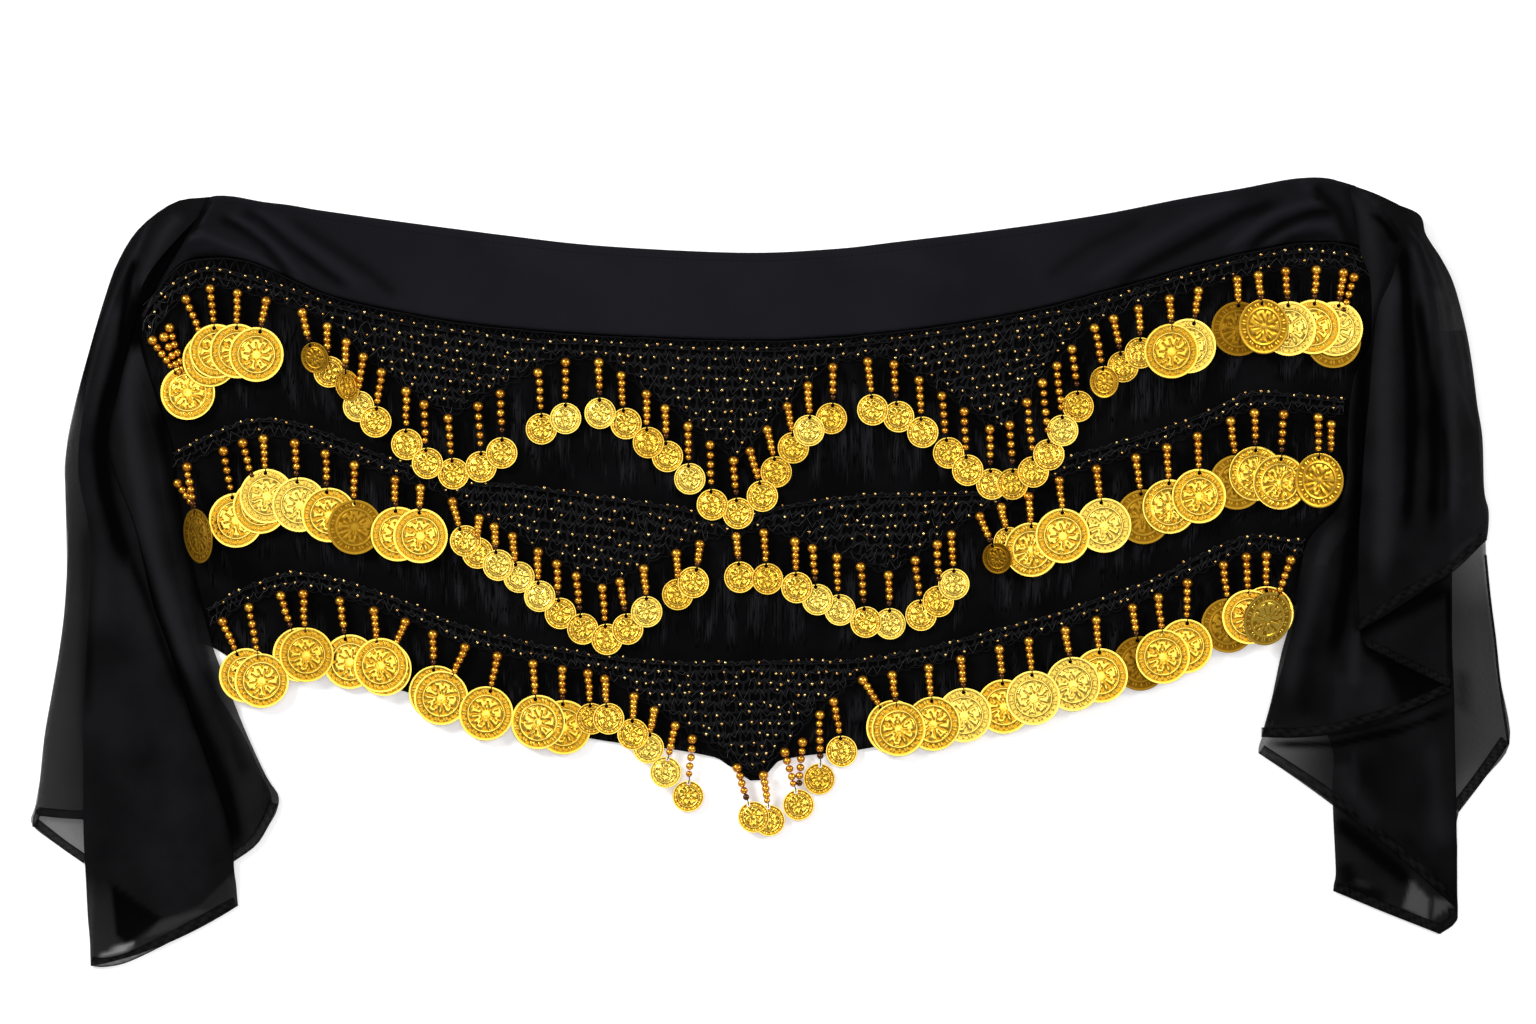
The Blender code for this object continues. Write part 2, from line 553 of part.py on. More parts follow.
def make_panel():
    """The chiffon panel: smooth under the nets, and gathered in the three bands between them."""
    luck = random.Random(7)
    nets = ("net_top", "net_middle", "net_bottom")
    low = {net: (lambda x, net=net: net_low(net, x) - CALM) for net in nets}
    high = {net: (lambda x, net=net: edge(net, x) + CALM - 0.5) for net in nets}
    strength = [luck.uniform(0.55, 1.0) if i % 2 else 0.0 for i in range(PANEL_COLUMNS + 1)]

    def between(upper, lower, share):
        return lambda x: upper(x) + share * (lower(x) - upper(x))

    # each row across the panel: its curve, and the share of the gathers that it has
    lines = [
        (lambda x: edge("seam", x) - SEAM_GAP, 0),
        (low["net_top"], 0),
        (between(low["net_top"], high["net_middle"], 0.3), 1),
        (between(low["net_top"], high["net_middle"], 0.7), 1),
        (high["net_middle"], 0),
        (low["net_middle"], 0),
        (between(low["net_middle"], high["net_bottom"], 0.3), 1),
        (between(low["net_middle"], high["net_bottom"], 0.7), 1),
        (high["net_bottom"], 0),
        (lambda x: edge("hem", x), 0),
    ]
    points = []
    for curve, share in lines:
        line = []
        for column in range(PANEL_COLUMNS + 1):
            x, y = across(column / PANEL_COLUMNS, curve, UNDER_TIE)
            inside = smoothstep(6 * column / PANEL_COLUMNS) * smoothstep(6 - 6 * column / PANEL_COLUMNS)
            line.append((x, y, WALL + GATHER * share * strength[column] * inside))
        points.append(line)
    return laid_flat("body_panel", points, 0, "chiffon")


def make_net(net, stops):
    """A crochet net, uncut: its strip and triangles as one plain wall on the panel."""
    points = []
    for curve in (lambda x: edge(net, x), lambda x: net_low(net, x)):
        ends = [across(share, curve, -END_GAP) for share in (0, 1)]
        line = [ends[0], *((x, curve(x)) for x in stops), ends[1]]
        points.append([(x, y, LEVEL + WALL) for x, y in line])
    return laid_flat(net, points, LEVEL, "crochet")


def edge_frame(net, x):
    """The unit vectors along a net's lower edge and out from it."""
    step = 1.5
    way = Vector((2 * step, net_low(net, x + step) - net_low(net, x - step))).normalized()
    return way, Vector((way.y, -way.x))


def strands_of(net):
    """Every strand of a net, left to right: its root, its direction, its coin's radius and middle."""
    luck = random.Random(len(net) * 31)
    strands = []
    for row in records(PLACE_COLUMNS, PLACES[net]):
        out = edge_frame(net, row["root"])[1]
        root = Vector((row["root"], net_low(net, row["root"]))) + out * (EDGE_GAP + STRIP_WIDTH)
        middle = Vector((row["x"], row["y"]))
        down = (middle - root).normalized()
        radius = LARGE_COIN if row["coin"] == "large" else SMALL_COIN
        strands.append({"x": row["root"], "root": root, "down": down, "radius": radius,
                        "middle": middle, "rim": middle - down * radius, "over": row["over"],
                        "turn": math.radians(row["turn"])})
    for strand in strands:
        unevenly = Vector((luck.uniform(-0.02, 0.02), luck.uniform(-0.02, 0.02)))
        strand["slope"] = lean_on_neighbours(strand, strands) + unevenly
        strand["normal"] = coin_normal(strand)
    laid = []
    for strand in sorted(strands, key=lambda s: (s["turn"] != 0, s["over"])):
        strand["z"] = resting_height(strand, laid)
        laid.append(strand)
    return strands


def lean_on_neighbours(strand, strands):
    """How a coin slopes: up over the coins that it lies on, and down under those that lie on it."""
    slope = Vector((0.0, 0.0))
    for other in strands:
        apart = other["middle"] - strand["middle"]
        if other is strand or apart.length > strand["radius"] + other["radius"]:
            continue
        way = (strand["over"] > other["over"]) - (strand["over"] < other["over"])
        distance = max(apart.length, 0.7 * strand["radius"])
        slope += apart.normalized() * way * (COIN_THICK + GAP) / distance / 2
    return slope


def coin_normal(strand):
    """Which way a coin faces: nearly up, or turned about its strand."""
    slope_x, slope_y = strand["slope"]
    flat = Vector((-slope_x, -slope_y, 1.0)).normalized()
    axis = Vector((*strand["down"], 0.0))
    return Matrix.Rotation(strand["turn"], 3, axis) @ flat


def plane_height(strand, x, y):
    """How far above its middle a coin's plane is at a point."""
    normal, middle = strand["normal"], strand["middle"]
    return -(normal.x * (x - middle.x) + normal.y * (y - middle.y)) / normal.z


def resting_height(strand, laid):
    """The height of a coin's middle at which it clears the cloth and the coins laid before it."""
    radius, normal, middle = strand["radius"], strand["normal"], strand["middle"]
    tall = radius * math.hypot(normal.x, normal.y)
    height = COIN_BASE + tall + COIN_THICK / 2
    side_way = Vector((*strand["down"], 0)).cross(normal).normalized()
    long_way = normal.cross(side_way)
    rings, spokes = 5, 24
    for other in laid:
        if (other["middle"] - middle).length > radius + other["radius"]:
            continue
        for ring in range(1, rings + 1):
            for spoke in range(spokes):
                angle = 2 * math.pi * spoke / spokes
                reach = radius * ring / rings
                step = (side_way * math.cos(angle) + long_way * math.sin(angle)) * reach
                x, y = middle.x + step.x, middle.y + step.y
                drop = plane_height(other, x, y)
                away = Vector((x - other["middle"].x, y - other["middle"].y, drop))
                if away.length > other["radius"] + 0.5:
                    continue
                apart = COIN_THICK / 2 * (1 / normal.z + 1 / other["normal"].z) + GAP
                height = max(height, other["z"] + drop + apart - step.z)
    return height


def stops_along(net, strands):
    """The places along a net's lower edge where it and its strip have a section."""
    stops = [strands[0]["x"] - STRIP_END]
    for strand in strands:
        half = ROOT_WIDTH / 2 * edge_frame(net, strand["x"])[0].x
        stops += [strand["x"] - half, strand["x"] + half]
    stops.append(strands[-1]["x"] + STRIP_END)
    for start, end in list(zip(stops, stops[1:])):
        if end - start > LONG_SPAN:
            stops.append((start + end) / 2)
    return sorted(stops)


def make_fringe(net, name, strands, stops):
    """A narrow strip along a net's lower edge, with every strand and coin growing from it."""
    mesh = bmesh.new()
    upper = LEVEL + STRIP_HEIGHT
    inner_line, outer_line = [], []
    for x in stops:
        out = edge_frame(net, x)[1]
        start = Vector((x, net_low(net, x))) + out * EDGE_GAP
        inner_line.append((*start, upper))
        outer_line.append((*(start + out * STRIP_WIDTH), upper))
    net_of_points(mesh, [inner_line, outer_line])
    lowered = bmesh.ops.extrude_face_region(mesh, geom=mesh.faces[:])["geom"]
    for vert in lowered:
        if isinstance(vert, bmesh.types.BMVert):
            vert.co.z = LEVEL
    bmesh.ops.recalc_face_normals(mesh, faces=mesh.faces)
    for strand in strands:
        grow_strand(mesh, strand)
    return new_object(name, mesh, "gold")


def grow_strand(mesh, strand):
    """Extrudes a strand out of the strip's outer side, and joins it to its coin's rim."""
    down, root = strand["down"], strand["root"]
    sides = [f for f in mesh.faces if abs(f.normal.z) < 0.1 and len(f.verts) == 4]
    at_root = Vector((*root, LEVEL + STRIP_HEIGHT / 2))
    face = min(sides, key=lambda f: (f.calc_center_median() - at_root).length)
    coin_z = strand["z"]
    aside = Vector((-down.y, down.x, 0.0))
    long = (strand["rim"] - root).length
    for section in records(STRAND_COLUMNS, STRAND_SECTIONS):
        face = extruded(mesh, face)
        height = STRAND_RISE + section["to_coin"] * (coin_z - STRAND_RISE)
        height = max(height, STRAND_CLEAR + section["half_high"])
        middle = Vector((*(root + down * section["reach"] * long), height))
        place_ring(face, middle, aside * section["half_wide"], Vector((0, 0, section["half_high"])))
    coin_face = add_coin(mesh, strand, aside)
    rings = [e for f in (face, coin_face) for e in f.edges]
    bmesh.ops.delete(mesh, geom=[face, coin_face], context="FACES_ONLY")
    bmesh.ops.bridge_loops(mesh, edges=rings)


def extruded(mesh, face):
    """Extrudes one face, and returns the face that has moved out."""
    grown = bmesh.ops.extrude_discrete_faces(mesh, faces=[face])["faces"]
    return grown[0]


def place_ring(face, middle, aside, up):
    """Moves a four-sided face's corners to a section, each to the corner that it is nearest to."""
    centre = face.calc_center_median()
    for vert in face.verts:
        offset = vert.co - centre
        right = 1 if offset.dot(aside) > 0 else -1
        high = 1 if offset.z > 0 else -1
        vert.co = middle + aside * right + up * high


def add_coin(mesh, strand, aside):
    """A coin's disc, with a narrow flat on its rim for the strand. Returns that flat's face."""
    radius, normal = strand["radius"], strand["normal"]
    sides = LARGE_SIDES if radius == LARGE_COIN else SMALL_SIDES
    middle = Vector((*strand["middle"], strand["z"]))
    across_way = Vector((*strand["down"], 0)).cross(normal).normalized()
    toward_strand = normal.cross(across_way).normalized()
    if toward_strand.dot(Vector((*strand["down"], 0))) > 0:
        toward_strand.negate()
    half_flat = math.asin(COIN_FLAT / radius)
    disc = bmesh.ops.create_circle(mesh, cap_ends=True, segments=sides, radius=radius)["verts"]
    for i, vert in enumerate(disc):
        angle = half_flat + i * (2 * math.pi - 2 * half_flat) / (sides - 1)
        spot = toward_strand * math.cos(angle) + across_way * math.sin(angle)
        vert.co = middle + spot * radius - normal * COIN_THICK / 2
    base = disc[0].link_faces[0]
    top = bmesh.ops.extrude_face_region(mesh, geom=[base])["geom"]
    bmesh.ops.translate(
        mesh, verts=[v for v in top if isinstance(v, bmesh.types.BMVert)], vec=normal * COIN_THICK
    )
    flat = {disc[0], disc[-1]}
    return next(f for f in disc[0].link_faces if len(f.verts) == 4 and flat <= set(f.verts))


def make_tie_layer(name, plan):
    """One laid layer of a tie, with its long folds."""
    rows = records(SECTION_COLUMNS, plan["sections"])
    ridges = records(RIDGE_COLUMNS, plan["ridges"])
    points, undersides = [], []
    for i, row in enumerate(rows):
        down = i / (len(rows) - 1)
        outer = Vector((row["outer_x"], row["outer_y"]))
        inner = Vector((row["inner_x"], row["inner_y"]))
        base = row["level"] * LEVEL
        line = []
        for column in range(TIE_ACROSS):
            share = column / (TIE_ACROSS - 1)
            spot = outer.lerp(inner, share)
            spot.y -= row["bow"] * 4 * share * (1 - share)
            rise = 0.0
            for ridge in ridges:
                at = ridge["start"] + down * (ridge["end"] - ridge["start"])
                fade = smoothstep((down - ridge["first"] + RIDGE_FADE) / RIDGE_FADE)
                fade *= smoothstep((ridge["last"] - down) / RIDGE_FADE)
                rise += fade * ridge["height"] * math.exp(-(((share - at) / ridge["width"]) ** 2))
            line.append((*spot, base + WALL + rise))
        points.append(line)
        undersides.append([base] * TIE_ACROSS)
    if len({row["level"] for row in rows}) == 1:
        return laid_flat(name, points, undersides[0][0], "chiffon")
    return laid_over(name, points, undersides, "chiffon")


def make_materials():
    """The three plain materials of the solids."""
    for name, (colour, roughness, metallic) in LOOKS.items():
        look = bpy.data.materials.new(name)
        look.use_nodes = True
        shader = look.node_tree.nodes["Principled BSDF"]
        shader.inputs["Base Color"].default_value = (*colour, 1)
        shader.inputs["Roughness"].default_value = roughness
        shader.inputs["Metallic"].default_value = metallic


def main():
    """Clears the scene, and makes every piece under one empty."""
    for thing in list(bpy.data.objects):
        bpy.data.objects.remove(thing, do_unlink=True)
    parts = bpy.data.collections.new(COLLECTION)
    bpy.context.scene.collection.children.link(parts)
    root = bpy.data.objects.new("hip_scarf_root", None)
    parts.objects.link(root)
    make_materials()
    make_waistband()
    make_panel()
    for net, fringe in (
        ("net_top", "fringe_top"),
        ("net_middle", "fringe_middle"),
        ("net_bottom", "fringe_bottom"),
    ):
        strands = strands_of(net)
        stops = stops_along(net, strands)
        make_net(net, stops)
        make_fringe(net, fringe, strands, stops)
    for name, plan in TIES.items():
        make_tie_layer(name, plan)


main()
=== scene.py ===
# %% [markdown]
# # A belly dance hip scarf, laid flat
# A hip scarf is worn low round the hips and tied at one side. It has a smooth waistband, a
# gathered panel of sheer chiffon, crochet nets sewn across the panel, and strands of beads with
# coins that jingle along the edge of each net. Two long chiffon ties start at its ends.
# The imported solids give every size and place. This lesson dresses them: first the numbers, then
# the finishes, then the cloth, the nets, the coins, the beads, and last the light and the camera.

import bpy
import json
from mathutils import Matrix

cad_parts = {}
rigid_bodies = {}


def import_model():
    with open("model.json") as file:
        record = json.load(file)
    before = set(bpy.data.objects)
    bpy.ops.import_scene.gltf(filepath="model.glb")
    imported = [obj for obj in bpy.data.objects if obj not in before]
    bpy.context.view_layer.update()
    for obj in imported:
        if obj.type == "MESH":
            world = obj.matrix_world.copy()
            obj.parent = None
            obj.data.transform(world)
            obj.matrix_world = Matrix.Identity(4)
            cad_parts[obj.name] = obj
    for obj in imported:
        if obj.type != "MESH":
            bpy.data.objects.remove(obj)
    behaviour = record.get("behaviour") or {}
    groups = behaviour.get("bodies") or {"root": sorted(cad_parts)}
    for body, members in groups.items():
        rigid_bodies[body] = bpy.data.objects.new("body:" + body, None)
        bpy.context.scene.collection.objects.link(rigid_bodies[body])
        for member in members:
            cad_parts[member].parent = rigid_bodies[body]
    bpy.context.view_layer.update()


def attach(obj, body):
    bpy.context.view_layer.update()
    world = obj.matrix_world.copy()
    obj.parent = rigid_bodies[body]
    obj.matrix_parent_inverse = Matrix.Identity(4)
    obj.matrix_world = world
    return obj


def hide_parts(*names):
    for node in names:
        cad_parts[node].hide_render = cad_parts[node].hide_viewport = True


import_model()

# %% Bring in the tools
import json
import math
import random

import bpy
import numpy as np
from mathutils import Matrix, Vector

MM = 0.001  # the tables are in millimetres

# %% [markdown]
# ## The numbers of the cut
# The same tables as the solids were made from say where everything lies: the edges across the
# body, the sides that the ties cover, the triangles of the nets, every strand with its coin, and
# the sections of the laid ties. A curve through a few measured rows is easier to correct than a
# long list of points, and a cloth can be sampled from it as finely as its folds ask.

# %% Sizes
WALL = 1.2  # the top of a laid layer of cloth, above what it lies on
BAND_WALL = 2.0  # the same for the doubled waistband
LEVEL = 1.5  # one laid layer over another
UNDER_TIE = 8.0  # how far the panel runs on under the ties
CALM = 4.5  # how far in under a net's edges the gathers end
END_GAP = 1.2  # how far a net ends from the ties
STRAND_ROOT = 3.8  # how far out from a net's lower edge a strand's root lies
COIN_THICK, COIN_GAP = 0.8, 0.3  # a coin, and the air between two coins
COIN_BASE = 3.25  # the lowest that a coin's underside lies
SMALL_COIN, LARGE_COIN = 9.1, 15.8  # the radii
STRIP_DEPTH = 9.5  # a net between its triangles
BLUNT = 0.95  # where a triangle's point is cut off, as a share of its depth
NETS = ("net_top", "net_middle", "net_bottom")

# %% Across the body: the seam, the nets' upper edges and the hem
BODY_COLUMNS = ("x", "seam", "net_top", "net_middle", "net_bottom", "hem")
BODY = (
    (-378, 150, 128, 61, -29, -39.5), (-368.5, 152.5, 139, 61.5, -29, -39.5),
    (-360, 159, 156, 61.5, -29, -39.5), (-343, 178, 170, 71, -29, -39.5),
    (-325.5, 182.5, 176.5, 79.5, -20.5, -43), (-302, 180, 171.5, 88.5, -7.5, -55.5),
    (-279, 170.5, 164.5, 87.5, -0.5, -53.5), (-256, 160.5, 156.5, 80, -3, -57),
    (-215, 151, 146, 64, -16, -68.5), (-180.5, 145, 140.5, 53.5, -30.5, -79),
    (-145.5, 141, 135.5, 50.5, -39.5, -88), (-99, 137.5, 133.5, 44, -48, -97.5),
    (-53, 135.5, 131, 37.5, -52, -103.5), (-21, 134.5, 130, 32, -52, -111),
    (-8, 134.5, 130, 34.5, -51.5, -120), (5, 134.5, 130, 38, -51.5, -109.5),
    (51.5, 137.5, 133.5, 44.5, -50.5, -103), (92, 142, 138.5, 46, -43.5, -95),
    (133, 148.5, 145, 48.5, -32.5, -84.5), (167.5, 156, 151.5, 65, -23, -73.5),
    (191, 162.5, 156.5, 72.5, -15, -66), (220, 170.5, 166.5, 81, -4.5, -56),
    (249, 179, 175, 91.5, 10, -44.5), (278, 186, 182.5, 104, 21.5, -31.5),
    (307, 191, 187, 103, 18.5, -18.5), (333, 190.5, 185, 100, 17, -18.5),
    (352, 183.5, 178, 100, 17, -18.5),
)

# %% The sides, where the ties' inner edges cross the body
SIDE_COLUMNS = ("y", "left", "right")
SIDES = (
    (-120, -300, 280), (-74, -312.5, 289.5), (-48, -322, 295), (-28, -326.5, 300.5),
    (-10.5, -331, 304.5), (7, -336, 308), (18.5, -338, 311), (29, -340.5, 318.5), (39, -343, 329),
    (56.5, -345, 333), (97.5, -354.5, 334), (119, -361, 340), (130, -363.5, 346.5), (158, -366, 347.5),
    (200, -366, 345.5),
)

# %% The nets' triangles
TRIANGLE_COLUMNS = ("net", "left", "apex", "right", "depth", "left_bend", "right_bend")
TRIANGLES = (
    ("net_top", -372, -366, -335, 13, 1, 1.2), ("net_top", -262, -186, -121, 42, 1, 1.2),
    ("net_top", -99, -19, 40, 56, 1.1, 1.4), ("net_top", 66, 133, 191, 54, 1.1, 1.3),
    ("net_middle", -190, -98, -23, 43, 1, 1.2), ("net_middle", -6, 68, 125, 37, 1, 1.1),
    ("net_bottom", -102, -8, 54, 58, 1.2, 1.3),
)

# %% The strands: root, coin's middle and size, its turn in degrees, and how far on top it lies
PLACE_COLUMNS = ("root", "x", "y", "coin", "turn", "over")
PLACES = {
    "net_top": (
        (-360, -338, 104, "large", 0, 0), (-340, -325, 123, "large", 0, 1),
        (-325, -321, 128, "large", 0, 2), (-309, -309, 128, "large", 0, 3),
        (-292, -298, 126, "large", 0, 4), (-272, -264, 124, "small", 30, 0),
        (-257, -256, 116, "small", 0, 3), (-246, -245, 108, "small", -45, 2),
        (-236, -239, 96, "small", 0, 0), (-225, -229, 87, "small", 0, 1),
        (-211, -211, 74, "small", 0, 0), (-201, -199, 63, "small", 0, 1),
        (-187, -184, 57, "small", 0, 0), (-170, -168, 61, "small", 0, 1),
        (-157, -156, 69, "small", 0, 2), (-135, -133, 83, "small", 0, 0),
        (-119, -119, 89, "small", 0, 1), (-100, -99, 92, "small", 0, 1), (-87, -84, 86, "small", 0, 0),
        (-72, -71, 75, "small", 0, 1), (-61, -60, 67, "small", 0, 0), (-48, -47, 54, "small", 0, 0),
        (-35, -34, 39, "small", 0, 1), (-22, -19, 34, "small", 0, 0), (-13, -5, 44, "small", 0, 1),
        (-3, 3, 58, "small", 0, 0), (9, 13, 72, "small", 0, 0), (21, 22, 82, "small", 0, 1),
        (36, 35, 89, "small", 0, 0), (56, 59, 94, "small", 0, 1), (71, 74, 90, "small", 0, 0),
        (86, 88, 81, "small", 0, 1), (99, 103, 69, "small", 0, 0), (112, 114, 59, "small", 0, 1),
        (127, 128, 51, "small", 0, 0), (138, 140, 51, "small", 0, 1), (148, 152, 58, "small", 0, 2),
        (157, 161, 68, "small", 0, 3), (165, 169, 82, "small", 0, 4), (174, 178, 96, "small", 0, 0),
        (187, 193, 110, "small", 30, 0), (198, 204, 119, "small", 0, 1), (213, 214, 127, "small", 0, 2),
        (231, 232, 128, "large", 0, 4), (248, 242, 131, "large", 0, 3), (270, 271, 141, "large", 0, 0),
        (282, 285, 142, "large", 35, 1), (298, 300, 141, "large", 0, 3), (316, 314, 142, "large", 0, 2),
        (332, 327, 141, "large", 0, 1), (339, 326, 134, "large", 0, 0),
    ),
    "net_middle": (
        (-339, -331, 21, "large", 55, 0), (-318, -310, 30, "large", 0, 0),
        (-307, -296, 38, "large", 0, 1), (-294, -292, 44, "large", 0, 2),
        (-276, -273, 39, "large", 0, 3), (-258, -256, 33, "large", 0, 4),
        (-241, -241, 26, "large", 0, 5), (-218, -216, 22, "large", 0, 6),
        (-203, -203, 21, "large", 0, 7), (-185, -177, 18, "small", 0, 5),
        (-169, -170, 11, "small", 0, 3), (-160, -158, 4, "small", 0, 4),
        (-150, -146, -3, "small", 0, 2), (-135, -134, -14, "small", 0, 1),
        (-124, -122, -24, "small", 0, 0), (-113, -109, -33, "small", 0, 1),
        (-98, -95, -39, "small", 0, 2), (-88, -83, -33, "small", 0, 3), (-74, -72, -23, "small", 0, 4),
        (-55, -54, -13, "small", 0, 0), (-41, -45, -6, "small", 0, 1), (-20, -18, -3, "small", 0, 0),
        (-4, -2, -4, "small", 0, 1), (14, 15, -9, "small", 0, 4), (24, 27, -16, "small", 0, 3),
        (38, 40, -22, "small", 0, 2), (52, 55, -29, "small", 0, 1), (68, 69, -30, "small", 0, 0),
        (83, 87, -25, "small", 0, 0), (96, 97, -17, "small", 0, 1), (104, 106, -7, "small", 0, 2),
        (120, 131, 8, "small", 30, 0), (133, 138, 17, "small", 0, 1), (149, 151, 13, "large", 0, 2),
        (167, 169, 21, "large", 0, 3), (188, 193, 27, "large", 0, 1), (211, 216, 32, "large", 0, 0),
        (229, 231, 38, "large", 0, 1), (247, 248, 44, "large", 0, 2), (266, 270, 52, "large", 0, 0),
        (280, 281, 57, "large", 0, 1), (297, 295, 52, "large", 0, 2), (317, 317, 53, "large", 35, 3),
    ),
    "net_bottom": (
        (-319, -304, -60, "large", 0, 0), (-303, -295, -63, "large", 0, 2),
        (-285, -273, -48, "large", 0, 1), (-271, -269, -48, "large", 0, 2),
        (-250, -244, -52, "large", 0, 0), (-230, -226, -54, "large", 0, 1),
        (-211, -224, -56, "large", 0, 0), (-196, -194, -70, "large", 0, 0),
        (-176, -191, -73, "large", 0, 1), (-158, -165, -82, "large", 0, 2),
        (-138, -135, -87, "large", 0, 1), (-121, -120, -90, "large", 0, 0),
        (-106, -104, -85, "small", 0, 1), (-96, -94, -85, "small", 0, 2),
        (-79, -80, -94, "small", 0, 1), (-67, -71, -102, "small", 0, 0),
        (-55, -61, -116, "small", 0, 0), (-45, -48, -130, "small", 0, 0),
        (-20, -10, -142, "small", 0, 1), (-5, -1, -144, "small", 0, 0), (7, 16, -135, "small", 0, 0),
        (28, 28, -120, "small", 0, 0), (36, 41, -104, "small", 0, 0), (52, 71, -90, "large", 0, 3),
        (70, 74, -91, "large", 0, 4), (91, 94, -88, "large", 0, 2), (110, 112, -83, "large", 0, 1),
        (132, 135, -78, "large", 0, 0), (149, 152, -73, "large", 0, 3), (170, 175, -65, "large", 0, 2),
        (188, 191, -60, "large", 0, 1), (209, 214, -53, "large", 0, 0), (224, 227, -49, "large", 0, 2),
        (241, 240, -43, "large", 0, 1), (262, 265, -31, "large", 0, 0), (275, 277, -26, "large", 0, 3),
        (287, 287, -24, "large", 0, 1), (302, 287, -27, "large", -30, 2),
    ),
}

# %% The waistband
BAND_COLUMNS = ("top_x", "top_y", "seam_x")
BAND = (
    (-324, 218.5, -359), (-311, 217.5, -343), (-295, 214.5, -324), (-279, 212.5, -302),
    (-264.5, 210, -279), (-247, 207.5, -256), (-215, 203, -215), (-157, 195.5, -157), (-99, 189, -99),
    (-18, 185, -18), (34, 187, 34), (75, 191.5, 75), (133, 198.5, 133), (191, 207, 191),
    (237, 216, 237), (272, 222, 272), (301, 227.5, 304), (318.5, 228.5, 324), (333, 226, 340.5),
)

